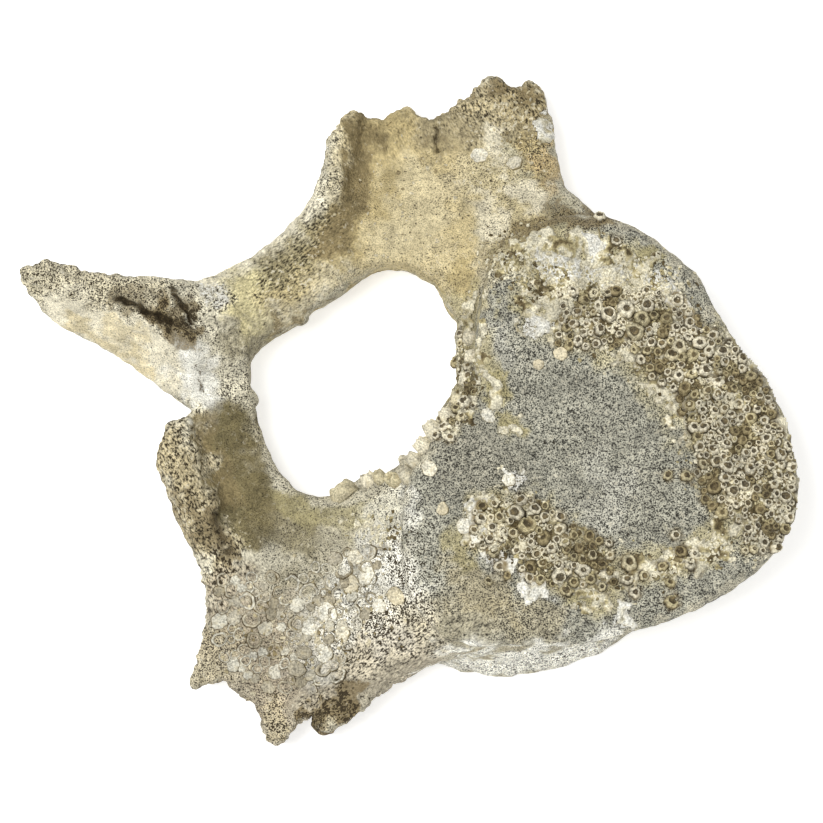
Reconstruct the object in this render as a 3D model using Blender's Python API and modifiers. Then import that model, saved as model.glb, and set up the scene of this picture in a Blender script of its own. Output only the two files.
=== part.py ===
"""Fossil whale vertebra with a crust of barnacles, lying on the flat end of its centrum.

Metres, +Z up.  The origin is the middle of the flat face that the bone rests on.  +X runs
from the neural canal to the belly side of the centrum, and +Y to the right process.

Places on the bone are given in millimetres as they are seen from above, along a sight line
that leans back a little: across and up the page from the middle of the centrum, and then a
height above the ground.
"""

import math
import random

import bmesh
import bpy
from mathutils import Vector, noise
from mathutils.bvhtree import BVHTree

MM = 0.001

# The page that places are read on, and the eye that looks at it
SIGHT_LEAN = math.radians(10.0)
SIGHT_DISTANCE = 1852.0
PAGE_MIDDLE = (-112.6, 12.7)
TARGET = Vector((-112.0, 10.0, 60.0))
PAGE_UP = Vector((0.0, math.cos(SIGHT_LEAN), math.sin(SIGHT_LEAN)))
SIGHT_AXIS = Vector((0.0, -math.sin(SIGHT_LEAN), math.cos(SIGHT_LEAN)))
EYE = TARGET + SIGHT_AXIS * SIGHT_DISTANCE

# Centrum: its upper face, its waist and its lower face, and the heights of its rings, each
# with how much wider it is than the outlines there
FACE_HEIGHT = 92.0
WAIST_HEIGHT = 46.0
BASE_HEIGHT = 8.0
RIM_HEIGHT = 78.0
SKIN_SHRINKAGE = 1.2
CENTRUM_SIDES = 48
OUTLINE_STEPS = 100
CENTRUM_MIDDLE = (-12.0, 0.0)
CENTRUM_RINGS = [
    (-4.0, -5.0), (1.0, -2.0), (BASE_HEIGHT, 0.0), (24.0, -3.0), (WAIST_HEIGHT, -4.0),
    (68.0, -3.5), (RIM_HEIGHT, -0.5), (85.0, 0.0), (90.5, -4.0), (FACE_HEIGHT, -11.0),
]
FACE_OUTLINE = [
    (-72, 93), (-54, 110), (-32, 117), (-10, 119), (17, 106), (39, 87), (54, 62), (65, 45),
    (80, 27), (89, 5), (95, -24), (91, -50), (75, -72), (52, -88), (17, -103), (-16, -110),
    (-54, -113), (-92, -111), (-114, -84), (-117, -51), (-115, -25), (-99, 0), (-82, 22),
    (-77, 51), (-73, 73),
]
WAIST_OUTLINE = [
    (-76, 86), (-54, 100), (-32, 105), (-11, 106), (14, 93), (33, 74), (50, 50), (62, 27),
    (75, 3), (80, -24), (75, -49), (62, -68), (41, -83), (14, -96), (-16, -106), (-54, -116),
    (-92, -116), (-116, -89), (-121, -51), (-119, -22), (-100, 5), (-92, 23), (-91, 46),
    (-91, 66), (-85, 81),
]
BASE_OUTLINE = [
    (-68, 68), (-54, 86), (-32, 98), (-4, 92), (24, 74), (49, 49), (68, 19), (76, -11),
    (75, -41), (62, -69), (38, -88), (11, -102), (-11, -117), (-32, -124), (-65, -130),
    (-97, -124), (-110, -113), (-119, -89), (-121, -51), (-113, -19), (-95, 14), (-78, 41),
]

CENTRUM_OUTLINES = [
    (BASE_HEIGHT, BASE_OUTLINE), (WAIST_HEIGHT, WAIST_OUTLINE), (RIM_HEIGHT, FACE_OUTLINE),
]

# Slices of the arch and the right process, from the canal's edge out: inner place, outer
# place, heights of the top at both, heights of the underside at both, hollow of the top
RIGHT_SLICES = [
    ((-54, 57), (-5, 108), (62, 62), (16, 16), 0),
    ((-81, 57), (-15, 120), (66, 66), (17, 17), 0),
    ((-92, 66), (-28, 132), (66, 64), (18, 20), 0),
    ((-95, 73), (-33, 147), (66, 60), (18, 20), 1),
    ((-99, 80), (-36, 160), (66, 56), (20, 18), 3),
    ((-105, 84), (-40, 196), (66, 50), (22, 14), 6),
    ((-116, 89), (-65, 204), (66, 48), (24, 12), 8),
    ((-127, 89), (-92, 196), (66, 48), (25, 12), 8),
    ((-135, 87), (-119, 190), (66, 50), (26, 13), 7),
    ((-143, 82), (-147, 181), (66, 56), (26, 16), 4),
    ((-151, 75), (-157, 154), (65, 60), (26, 20), 1),
    ((-159, 70), (-163, 135), (64, 60), (26, 24), 0),
    ((-167, 66), (-172, 119), (62, 60), (25, 28), 0),
    ((-178, 57), (-187, 104), (61, 60), (24, 30), 0),
    ((-190, 51), (-204, 93), (60, 62), (24, 30), 0),
    ((-197, 45), (-218, 86), (60, 66), (24, 28), 0),
    ((-201, 35), (-229, 81), (62, 70), (24, 26), 0),
    ((-204, 26), (-236, 71), (64, 74), (24, 26), 0),
]

# Slices of the arch and the left process, in the same way
LEFT_SLICES = [
    ((-81, 3), (-32, -89), (84, 84), (16, 14), 0),
    ((-98, -6), (-62, -110), (87, 85), (14, 13), 0),
    ((-108, -10), (-82, -118), (86, 80), (14, 12), 0),
    ((-118, -16), (-103, -125), (79, 71), (16, 12), 1),
    ((-130, -23), (-127, -138), (70, 62), (18, 12), 3),
    ((-142, -29), (-149, -166), (64, 54), (20, 12), 5),
    ((-152, -33), (-167, -176), (62, 50), (22, 12), 7),
    ((-160, -34), (-184, -182), (62, 48), (23, 12), 8),
    ((-167, -32), (-200, -172), (61, 48), (24, 13), 8),
    ((-173, -30), (-219, -155), (60, 50), (24, 14), 7),
    ((-178, -25), (-231, -142), (60, 52), (24, 16), 6),
    ((-183, -21), (-226, -111), (59, 56), (24, 18), 4),
    ((-186, -16), (-223, -89), (58, 58), (24, 22), 3),
    ((-189, -10), (-227, -69), (58, 60), (24, 24), 3),
    ((-192, -4), (-237, -50), (58, 62), (24, 26), 3),
    ((-194, 3), (-243, -37), (58, 64), (24, 28), 3),
    ((-197, 9), (-249, -12), (58, 64), (24, 30), 2),
    ((-197, 15), (-240, 3), (59, 63), (24, 30), 0),
    ((-201, 22), (-229, 13), (60, 62), (24, 28), 0),
    ((-203, 30), (-224, 25), (60, 62), (24, 26), 0),
]
SLICE_CORNERS = 24
SLICE_SQUARENESS = 0.62

# Slices of the neural spine: upper edge, lower edge, how far across the crest lies, and the
# heights of the crest, the upper edge, the lower edge and the underside
SPINE_SLICES = [
    ((-201, 57), (-201, 19), 0.50, 62, 58, 57, 24),
    ((-213, 86), (-213, 12), 0.58, 69, 60, 57, 24),
    ((-228, 84), (-233, 15), 0.62, 75, 62, 52, 26),
    ((-243, 85), (-249, 26), 0.58, 80, 66, 48, 28),
    ((-259, 86), (-263, 37), 0.52, 83, 70, 50, 32),
    ((-280, 88), (-278, 47), 0.47, 87, 76, 56, 40),
    ((-292, 89), (-292, 54), 0.46, 90, 80, 62, 46),
    ((-301, 92), (-306, 62), 0.46, 92, 84, 68, 52),
    ((-311, 94), (-315, 71), 0.46, 94, 87, 75, 60),
    ((-320, 92), (-321, 80), 0.48, 94, 90, 85, 72),
    ((-324, 89), (-324, 84), 0.50, 91, 89, 87, 80),
]

# Ridges, each a row of places with a height and a radius
RIGHT_PROCESS_EDGE = [(-162, 112, 52, 8), (-155, 133, 56, 8), (-150, 155, 55, 8), (-145, 186, 51, 8)]
JOINT_FACET = [(-237, 0, 59, 10), (-240, -13, 61, 12), (-232, -29, 59, 12), (-224, -45, 56, 11)]
SPINE_SIDE_FINGER = [(-170, -118, 38, 15), (-178, -140, 32, 14), (-186, -178, 27, 13)]
BELLY_SIDE_FINGER = [(-138, -118, 38, 14), (-150, -142, 32, 12), (-164, -172, 28, 11)]
CANAL_KNOB = [(-205, 22, 52, 7), (-198, 18, 50, 5)]
CANAL_LIP = [(-180, 70, 50, 8), (-171, 62, 48, 5)]
RIDGES = [
    RIGHT_PROCESS_EDGE, JOINT_FACET, SPINE_SIDE_FINGER, BELLY_SIDE_FINGER, CANAL_KNOB, CANAL_LIP,
]
RIDGE_SIDES = 12
RIDGE_BLUNTNESS = 0.6

# Broken ends: jagged outlines that are cut through the bone along the sight line
RIGHT_BREAK = [
    (-152, 164), (-149, 172), (-143, 174), (-135, 170), (-127, 169), (-120, 175), (-114, 177),
    (-110, 172), (-103, 169), (-97, 171), (-92, 173), (-87, 180), (-81, 181), (-76, 189),
    (-70, 193), (-65, 192), (-60, 187), (-54, 187), (-50, 191), (-46, 189), (-41, 184),
    (-38, 172), (-10, 172), (-10, 240), (-190, 240), (-190, 164),
]
LEFT_BREAK = [
    (-230, -136), (-220, -134), (-215, -131), (-208, -136), (-204, -140), (-197, -144),
    (-195, -150), (-192, -156), (-189, -165), (-185, -168), (-180, -165), (-177, -158),
    (-174, -154), (-169, -152), (-164, -147), (-165, -156), (-161, -161), (-156, -160),
    (-145, -153), (-131, -141), (-118, -134), (-90, -150), (-90, -240), (-280, -240),
    (-280, -136),
]
BREAK_REACH = (-20.0, 150.0)

# Crevices: a row of places, the half width and the depth.  First the two in the spine, then
# the hollow below the joint facet, the channels of the right process and the facet's groove
CREVICES = [
    ([(-274, 75), (-262, 72), (-250, 66), (-243, 62)], 4.0, 9.0),
    ([(-240, 79), (-234, 68), (-229, 58)], 3.5, 6.0),
    ([(-222, -52), (-217, -62), (-212, -70)], 6.0, 7.0),
    ([(-143, 168), (-138, 148), (-140, 120)], 6.0, 3.5),
    ([(-99, 166), (-100, 160), (-99, 155)], 3.0, 6.0),
    ([(-247, -10), (-236, -24), (-224, -38)], 3.5, 3.5),
]

# Rough bands: a row of places and the half width.  The spine's crest, the joint facet and
# the edge of the right process
ROUGH_BANDS = [
    ([(-322, 88), (-298, 82), (-264, 76), (-234, 68)], 14.0),
    ([(-240, 0), (-234, -26), (-222, -48)], 17.0),
    ([(-158, 122), (-150, 170)], 9.0),
]

# Skin of the bone
SKIN_VOXEL = 2.0
SKIN_SMOOTHING = 6
BONE_TRIANGLES = 5300
SWELL_SIZE, SWELL_HEIGHT = 26.0, 1.1
LUMP_SIZE, LUMP_HEIGHT = 9.0, 0.9
ROUGHENING = 1.8
CRUST_HEIGHT = 2.2
CRUST_SPREAD = 1.2

# Barnacles: large ones with a place and a radius, then colonies filled in between, each a
# row of places with a half width, and how many stand in it
LARGE_BARNACLES = [
    (-6, 65, 4.3), (3, 68, 4.9), (15, 70, 3.8), (12, 62, 4.3), (4, 57, 4.0), (32, 47, 4.3),
    (25, 42, 3.8), (40, 42, 3.8), (35, 25, 3.8), (46, 50, 3.8), (48, 34, 3.8), (56, 27, 3.8),
    (58, -17, 3.8), (50, -27, 3.8), (55, -42, 3.8), (64, 11, 3.6), (43, 4, 3.6), (-57, -41, 4.3),
    (-47, -38, 3.4), (-49, -50, 4.9), (-66, -45, 3.4), (-39, -57, 3.8), (-33, -76, 4.3),
    (-21, -72, 3.8), (5, -68, 4.3), (6, -79, 3.6), (28, -90, 3.8), (-27, 58, 3.0),
]
COLONIES = [
    ([(-20, 62), (12, 62), (34, 44), (50, 22), (56, 0), (58, -20), (70, -32)], 15.0, 26),
    ([(-66, -48), (-48, -50), (-34, -66), (-16, -68)], 13.0, 12),
    ([(-88, 52), (-84, 34), (-86, 18), (-98, 2)], 5.0, 5),
]
SMALL_BARNACLE = (2.6, 3.5)
BARNACLE_SPACING = 1.12
BARNACLE_TRIES = 4000
BARNACLE_SIDES = 6
BARNACLE_TALLNESS = (0.75, 1.0)
BARNACLE_UPRIGHTNESS = 0.6
BARNACLE_SEED = 11

# Wall of a barnacle from its root to the floor of its pit: shares of the radius, and heights
# as shares of the barnacle's height
BARNACLE_PROFILE = [(1.0, -0.6), (1.0, 0.0), (0.66, 1.0), (0.44, 1.0), (0.34, 0.35)]

BONE_COLOUR = (0.55, 0.50, 0.36, 1.0)
BONE_ROUGHNESS = 0.9
SHARP_ANGLE = math.radians(35.0)


def seen(across, up, height):
    """Point at a height that is seen at this place on the page."""
    page = TARGET + Vector((across - PAGE_MIDDLE[0], 0.0, 0.0)) + PAGE_UP * (up - PAGE_MIDDLE[1])
    reach = (height - EYE.z) / (page.z - EYE.z)
    return (EYE + (page - EYE) * reach) * MM


def place_on_page(point):
    """Where a point is seen on the page, in millimetres."""
    sight = point / MM - EYE
    sight *= SIGHT_DISTANCE / -sight.dot(SIGHT_AXIS)
    return sight.x + PAGE_MIDDLE[0], sight.dot(PAGE_UP) + PAGE_MIDDLE[1]


def between(first, last, share):
    """Number a share of the way from the first to the last."""
    return first + (last - first) * share


def spline(knots, share, closed=False):
    """Smooth curve through equal rows of numbers, read at a share of its length."""
    gaps = len(knots) if closed else len(knots) - 1
    whole = min(int(share * gaps), gaps - 1)
    step = share * gaps - whole
    picks = []
    for offset in (-1, 0, 1, 2):
        index = whole + offset
        picks.append(knots[index % len(knots) if closed else max(0, min(index, len(knots) - 1))])
    a, b, c, d = (Vector(pick) for pick in picks)
    return 0.5 * (2 * b + (c - a) * step + (2 * a - 5 * b + 4 * c - d) * step ** 2
                  + (3 * b - a - 3 * c + d) * step ** 3)


def reach_of(outline, angle):
    """How far an outline of the centrum reaches from its middle in one direction."""
    ray = Vector((math.cos(angle), math.sin(angle)))
    farthest = 0.0
    for start, end in zip(outline, outline[1:] + outline[:1]):
        corner = start - Vector(CENTRUM_MIDDLE)
        edge = end - start
        turn = ray.cross(edge)
        if turn == 0.0:
            continue
        along = corner.cross(edge) / turn
        share = corner.cross(ray) / turn
        if along > 0.0 and 0.0 <= share <= 1.0:
            farthest = max(farthest, along)
    return farthest


def loft(skin, rings):
    """Closed skin over a row of rings with equally many corners."""
    last_edges = None
    for number, ring in enumerate(rings):
        is_end = number in (0, len(rings) - 1)
        made = bmesh.ops.create_circle(skin, cap_ends=is_end, radius=1.0, segments=len(ring))
        for vertex, point in zip(made["verts"], ring):
            vertex.co = point
        edges = {edge for vertex in made["verts"] for edge in vertex.link_edges}
        if last_edges:
            bmesh.ops.bridge_loops(skin, edges=list(last_edges | edges))
        last_edges = edges


def centrum_ring(outlines, height, swell):
    """Ring of the centrum at a height, between the outlines below and above it."""
    lower, upper = outlines[:2] if height < WAIST_HEIGHT else outlines[1:]
    share = max(0.0, min(1.0, (height - lower[0]) / (upper[0] - lower[0])))
    ring = []
    for corner in range(CENTRUM_SIDES):
        angle = 2.0 * math.pi * corner / CENTRUM_SIDES
        reach = between(reach_of(lower[1], angle), reach_of(upper[1], angle), share)
        spoke = Vector((math.cos(angle), math.sin(angle))) * (reach + SKIN_SHRINKAGE + swell)
        ring.append(seen(*(Vector(CENTRUM_MIDDLE) + spoke), height))
    return ring


def centrum(skin):
    """Body of the vertebra: two flat ends with a narrower waist between them."""
    outlines = []
    for height, knots in CENTRUM_OUTLINES:
        curve = [spline(knots, step / OUTLINE_STEPS, closed=True) for step in range(OUTLINE_STEPS)]
        outlines.append((height, curve))
    loft(skin, [centrum_ring(outlines, height, swell) for height, swell in CENTRUM_RINGS])


def slice_ring(inner, outer, tops, undersides, hollow):
    """Ring of a slab that runs from its inner to its outer edge."""
    inner_edge = seen(*inner, (tops[0] + undersides[0]) / 2)
    outer_edge = seen(*outer, (tops[1] + undersides[1]) / 2)
    ring = []
    for corner in range(SLICE_CORNERS):
        angle = 2.0 * math.pi * corner / SLICE_CORNERS
        out = math.copysign(abs(math.cos(angle)) ** SLICE_SQUARENESS, math.cos(angle))
        rise = math.copysign(abs(math.sin(angle)) ** SLICE_SQUARENESS, math.sin(angle))
        share = (1.0 + out) / 2.0
        top = between(tops[0], tops[1], share) - hollow * math.sin(math.pi * share)
        low = between(undersides[0], undersides[1], share)
        point = inner_edge.lerp(outer_edge, share)
        point.z = ((top + low) / 2 + rise * (top - low) / 2) * MM
        ring.append(point)
    return ring


def flat_row(row):
    """Numbers of a row of a table, nested or not, as one plain tuple."""
    numbers = []
    for entry in row:
        numbers.extend(entry if isinstance(entry, tuple) else (entry,))
    return tuple(numbers)


def arch(skin, slices):
    """One half of the neural arch with its process."""
    rows = [flat_row(row) for row in slices]
    count = 2 * len(rows) - 1
    rings = []
    for number in range(count):
        row = spline(rows, number / (count - 1))
        rings.append(slice_ring(row[0:2], row[2:4], row[4:6], row[6:8], row[8]))
    loft(skin, rings)


def spine_ring(row):
    """Ring of the neural spine: a rough crest that drops to a smooth lower side."""
    crest_at, crest, upper, lower, under = row[4:9]
    upper_edge = seen(row[0], row[1], upper)
    lower_edge = seen(row[2], row[3], lower)
    profile = [
        (0.0, upper), (0.10, between(upper, crest, 0.75)), (crest_at * 0.6, crest), (crest_at, crest),
        (between(crest_at, 1.0, 0.5), between(crest, lower, 0.55)), (1.0, lower),
        (0.92, between(lower, under, 0.6)), (0.6, under), (0.15, between(under, upper, 0.25)),
    ]
    ring = []
    for corner in range(SLICE_CORNERS):
        share, height = spline(profile, corner / SLICE_CORNERS, closed=True)
        point = upper_edge.lerp(lower_edge, share)
        point.z = height * MM
        ring.append(point)
    return ring


def spine(skin):
    """Neural spine, from the arch to its tip."""
    rows = [flat_row(row) for row in SPINE_SLICES]
    count = 2 * len(rows) - 1
    loft(skin, [spine_ring(spline(rows, number / (count - 1))) for number in range(count)])


def ridge(skin, knots):
    """Round ridge through a row of places, with a blunt start and end."""
    centres = [seen(across, up, height) for across, up, height, radius in knots]
    radii = [knot[3] * MM for knot in knots]
    rings = []
    for number, (centre, radius) in enumerate(zip(centres, radii)):
        ahead = centres[min(number + 1, len(centres) - 1)] - centres[max(number - 1, 0)]
        turn = ahead.normalized().to_track_quat("Z", "Y")
        circle = []
        for corner in range(RIDGE_SIDES):
            angle = 2.0 * math.pi * corner / RIDGE_SIDES
            circle.append(turn @ Vector((math.cos(angle), math.sin(angle), 0.0)) * radius)
        tip = turn @ Vector((0.0, 0.0, radius * RIDGE_BLUNTNESS))
        if number == 0:
            rings.append([centre - tip + point * RIDGE_BLUNTNESS for point in circle])
        rings.append([centre + point for point in circle])
        if number == len(knots) - 1:
            rings.append([centre + tip + point * RIDGE_BLUNTNESS for point in circle])
    loft(skin, rings)


def new_object(name, skin, collection):
    """Object that takes over a bmesh."""
    mesh = bpy.data.meshes.new(name)
    skin.to_mesh(mesh)
    skin.free()
    made = bpy.data.objects.new(name, mesh)
    collection.objects.link(made)
    return made


def new_cutter(name, skin, collection):
    """Object that only shapes another one."""
    cutter = new_object(name, skin, collection)
    cutter.hide_render = True
    cutter.display_type = "WIRE"
    return cutter


def settle(made):
    """Replaces an object's mesh by what its modifiers make of it."""
    bpy.context.view_layer.update()
    evaluated = made.evaluated_get(bpy.context.evaluated_depsgraph_get())
    mesh = bpy.data.meshes.new_from_object(evaluated)
    made.modifiers.clear()
    made.data = mesh


def prism(name, outline, collection):
    """Cutter with this outline all along the sight line."""
    skin = bmesh.new()
    corners = [skin.verts.new(seen(across, up, BREAK_REACH[0])) for across, up in outline]
    floor = skin.faces.new(corners)
    raised = bmesh.ops.extrude_face_region(skin, geom=[floor])["geom"]
    for vertex in (item for item in raised if isinstance(item, bmesh.types.BMVert)):
        across, up = place_on_page(vertex.co)
        vertex.co = seen(across, up, BREAK_REACH[1])
    bmesh.ops.recalc_face_normals(skin, faces=skin.faces)
    return new_cutter(name, skin, collection)


def ground_cutter(collection):
    """Block below the ground, which leaves the flat face that the bone rests on."""
    skin = bmesh.new()
    bmesh.ops.create_cube(skin, size=1.0)
    bmesh.ops.translate(skin, verts=skin.verts, vec=(0.0, 0.0, -0.5))
    return new_cutter("ground", skin, collection)


def cut(made, cutter, operation="DIFFERENCE"):
    """Boolean of an object with another one."""
    boolean = made.modifiers.new(cutter.name, "BOOLEAN")
    boolean.object = cutter
    boolean.operation = operation
    boolean.solver = "EXACT"
    boolean.use_self = operation == "UNION"


def path_distance(place, path):
    """How far a place on the page lies from a row of places."""
    nearest = math.inf
    for start, end in zip(path, path[1:]):
        a = Vector(start)
        run = Vector(end) - a
        share = max(0.0, min(1.0, (place - a).dot(run) / run.length_squared))
        nearest = min(nearest, (place - a - run * share).length)
    return nearest


def nearness(place, path, half_width, power=2):
    """From 0 outside a band along a row of places to 1 in its middle."""
    return max(0.0, 1.0 - (path_distance(place, path) / half_width) ** power)


def weathering(point, normal):
    """How far a point of the skin moves: swells and lumps, crevices, and the barnacles' crust."""
    place = Vector(place_on_page(point * MM))
    roughness = 1.0 + ROUGHENING * max(nearness(place, *band) for band in ROUGH_BANDS)
    swell = noise.noise(point / SWELL_SIZE) * SWELL_HEIGHT
    lump = noise.noise(point / LUMP_SIZE) * LUMP_HEIGHT * roughness
    shift = normal * (swell + lump)
    if normal.z > 0.0:
        for path, half_width, depth in CREVICES:
            shift -= SIGHT_AXIS * depth * nearness(place, path, half_width)
        for path, half_width, _ in COLONIES:
            shift += normal * CRUST_HEIGHT * nearness(place, path, half_width * CRUST_SPREAD, 4)
    return shift


def weather(mesh):
    """Moves every point of the skin as the weathering says."""
    skin = [(vertex.co.copy(), vertex.normal.copy()) for vertex in mesh.vertices]
    moved = []
    for point, normal in skin:
        moved.extend(point + weathering(point / MM, normal) * MM)
    mesh.vertices.foreach_set("co", moved)
    mesh.update()


def bone(collection, cutters):
    """The bare bone, before anything grew on it."""
    skin = bmesh.new()
    centrum(skin)
    arch(skin, RIGHT_SLICES)
    arch(skin, LEFT_SLICES)
    spine(skin)
    for knots in RIDGES:
        ridge(skin, knots)
    bmesh.ops.recalc_face_normals(skin, faces=skin.faces)
    made = new_object("vertebra", skin, collection)
    remesh = made.modifiers.new("one skin", "REMESH")
    remesh.mode = "VOXEL"
    remesh.voxel_size = SKIN_VOXEL * MM
    smooth = made.modifiers.new("rounding", "SMOOTH")
    smooth.factor = 0.5
    smooth.iterations = SKIN_SMOOTHING
    settle(made)
    weather(made.data)
    triangles = sum(len(face.vertices) - 2 for face in made.data.polygons)
    decimate = made.modifiers.new("fewer faces", "DECIMATE")
    decimate.ratio = BONE_TRIANGLES / triangles
    cut(made, prism("right break", RIGHT_BREAK, cutters))
    cut(made, prism("left break", LEFT_BREAK, cutters))
    cut(made, ground_cutter(cutters))
    settle(made)
    return made


def barnacle_places():
    """Places and radii of the barnacles, none of them touching another."""
    chance = random.Random(BARNACLE_SEED)
    placed = list(LARGE_BARNACLES)
    for path, half_width, count in COLONIES:
        wanted = len(placed) + count
        tries = 0
        while len(placed) < wanted and tries < BARNACLE_TRIES:
            tries += 1
            middle = spline(path, chance.random())
            across = middle.x + chance.uniform(-half_width, half_width)
            up = middle.y + chance.uniform(-half_width, half_width)
            radius = chance.uniform(*SMALL_BARNACLE)
            gaps = [math.hypot(across - a, up - b) - (radius + r) * BARNACLE_SPACING for a, b, r in placed]
            if min(gaps) > 0.0:
                placed.append((across, up, radius))
    return placed


def barnacle(skin, foot, normal, radius, height):
    """Six-walled cone with a rim and an open pit."""
    axis = normal + Vector((0.0, 0.0, BARNACLE_UPRIGHTNESS))
    turn = axis.to_track_quat("Z", "Y")
    rings = []
    for share, rise in BARNACLE_PROFILE:
        ring = []
        for corner in range(BARNACLE_SIDES):
            angle = 2.0 * math.pi * corner / BARNACLE_SIDES
            spoke = Vector((math.cos(angle), math.sin(angle), 0.0)) * radius * share
            spoke.z = rise * height
            ring.append(foot + turn @ spoke * MM)
        rings.append(ring)
    loft(skin, rings)


def barnacles(bare_bone, collection):
    """All barnacles, each seated on the bone where its place is seen."""
    tree = BVHTree.FromObject(bare_bone, bpy.context.evaluated_depsgraph_get())
    chance = random.Random(BARNACLE_SEED)
    eye = EYE * MM
    skin = bmesh.new()
    for across, up, radius in barnacle_places():
        sight = seen(across, up, 0.0) - eye
        foot, normal, _, _ = tree.ray_cast(eye, sight)
        if foot:
            barnacle(skin, foot, normal, radius, radius * chance.uniform(*BARNACLE_TALLNESS))
    bmesh.ops.recalc_face_normals(skin, faces=skin.faces)
    return new_cutter("barnacles", skin, collection)


def finish(made):
    """Weathered bone colour and soft shading."""
    material = bpy.data.materials.new("weathered bone")
    material.use_nodes = True
    surface = material.node_tree.nodes["Principled BSDF"]
    surface.inputs["Base Color"].default_value = BONE_COLOUR
    surface.inputs["Roughness"].default_value = BONE_ROUGHNESS
    surface.inputs["Metallic"].default_value = 0.0
    made.data.materials.clear()
    made.data.materials.append(material)
    made.data.shade_smooth()
    made.data.set_sharp_from_angle(angle=SHARP_ANGLE)


def main():
    """The vertebra as one solid, in a collection of its own."""
    for old in list(bpy.data.objects):
        bpy.data.objects.remove(old)
    parts = bpy.data.collections.new("fossil whale vertebra")
    cutters = bpy.data.collections.new("cutters")
    bpy.context.scene.collection.children.link(parts)
    bpy.context.scene.collection.children.link(cutters)
    vertebra = bone(parts, cutters)
    cut(vertebra, barnacles(vertebra, cutters), "UNION")
    settle(vertebra)
    finish(vertebra)


main()
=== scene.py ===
"""Looks of a fossil whale vertebra: its weathered bone, and the barnacles that grew on it.

Metres, +Z up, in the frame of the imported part.  Places on the bone are given in millimetres
as they are seen from above, along a sight line that leans back a little: across and up the
page from the middle of the centrum, and then a height above the ground.
"""

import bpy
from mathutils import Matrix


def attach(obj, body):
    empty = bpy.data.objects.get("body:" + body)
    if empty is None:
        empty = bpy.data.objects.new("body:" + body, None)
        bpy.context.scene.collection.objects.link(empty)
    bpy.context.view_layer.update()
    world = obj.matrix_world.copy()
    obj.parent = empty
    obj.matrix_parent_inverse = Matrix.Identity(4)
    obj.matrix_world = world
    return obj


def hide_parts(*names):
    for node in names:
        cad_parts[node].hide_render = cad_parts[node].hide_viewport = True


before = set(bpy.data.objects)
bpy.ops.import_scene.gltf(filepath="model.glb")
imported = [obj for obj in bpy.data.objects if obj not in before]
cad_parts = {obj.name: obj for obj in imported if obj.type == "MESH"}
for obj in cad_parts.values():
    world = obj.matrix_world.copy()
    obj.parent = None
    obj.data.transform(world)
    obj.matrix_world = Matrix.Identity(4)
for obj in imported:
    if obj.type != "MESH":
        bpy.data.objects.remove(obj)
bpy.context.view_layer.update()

import math
import random

import bmesh
import bpy
import numpy as np
from mathutils import Vector, noise
from mathutils.bvhtree import BVHTree

MM = 0.001

# The page that places are read on, and the eye that looks at it
SIGHT_LEAN = math.radians(10.0)
SIGHT_DISTANCE = 1852.0
PAGE_MIDDLE = (-112.6, 12.7)
TARGET = Vector((-112.0, 10.0, 60.0))
PAGE_UP = Vector((0.0, math.cos(SIGHT_LEAN), math.sin(SIGHT_LEAN)))
SIGHT_AXIS = Vector((0.0, -math.sin(SIGHT_LEAN), math.cos(SIGHT_LEAN)))
EYE = TARGET + SIGHT_AXIS * SIGHT_DISTANCE

# Centrum: its upper face, its waist and its lower face, and the heights of its rings, each
# with how much wider it is than the outlines there
FACE_HEIGHT = 92.0
WAIST_HEIGHT = 46.0
BASE_HEIGHT = 8.0
RIM_HEIGHT = 78.0
SKIN_SHRINKAGE = 1.2
CENTRUM_SIDES = 48
OUTLINE_STEPS = 100
CENTRUM_MIDDLE = (-12.0, 0.0)
CENTRUM_RINGS = [
    (-4.0, -5.0), (1.0, -2.0), (BASE_HEIGHT, 0.0), (24.0, -3.0), (WAIST_HEIGHT, -4.0),
    (68.0, -3.5), (RIM_HEIGHT, -0.5), (85.0, 0.0), (90.5, -4.0), (FACE_HEIGHT, -11.0),
]
FACE_OUTLINE = [
    (-72, 93), (-54, 110), (-32, 117), (-10, 119), (17, 106), (39, 87), (54, 62), (65, 45),
    (80, 27), (89, 5), (95, -24), (91, -50), (75, -72), (52, -88), (17, -103), (-16, -110),
    (-54, -113), (-92, -111), (-114, -84), (-117, -51), (-115, -25), (-99, 0), (-82, 22),
    (-77, 51), (-73, 73),
]
WAIST_OUTLINE = [
    (-76, 86), (-54, 100), (-32, 105), (-11, 106), (14, 93), (33, 74), (50, 50), (62, 27),
    (75, 3), (80, -24), (75, -49), (62, -68), (41, -83), (14, -96), (-16, -106), (-54, -116),
    (-92, -116), (-116, -89), (-121, -51), (-119, -22), (-100, 5), (-92, 23), (-91, 46),
    (-91, 66), (-85, 81),
]
BASE_OUTLINE = [
    (-68, 68), (-54, 86), (-32, 98), (-4, 92), (24, 74), (49, 49), (68, 19), (76, -11),
    (75, -41), (62, -69), (38, -88), (11, -102), (-11, -117), (-32, -124), (-65, -130),
    (-97, -124), (-110, -113), (-119, -89), (-121, -51), (-113, -19), (-95, 14), (-78, 41),
]
CENTRUM_OUTLINES = [
    (BASE_HEIGHT, BASE_OUTLINE), (WAIST_HEIGHT, WAIST_OUTLINE), (RIM_HEIGHT, FACE_OUTLINE),
]

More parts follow.
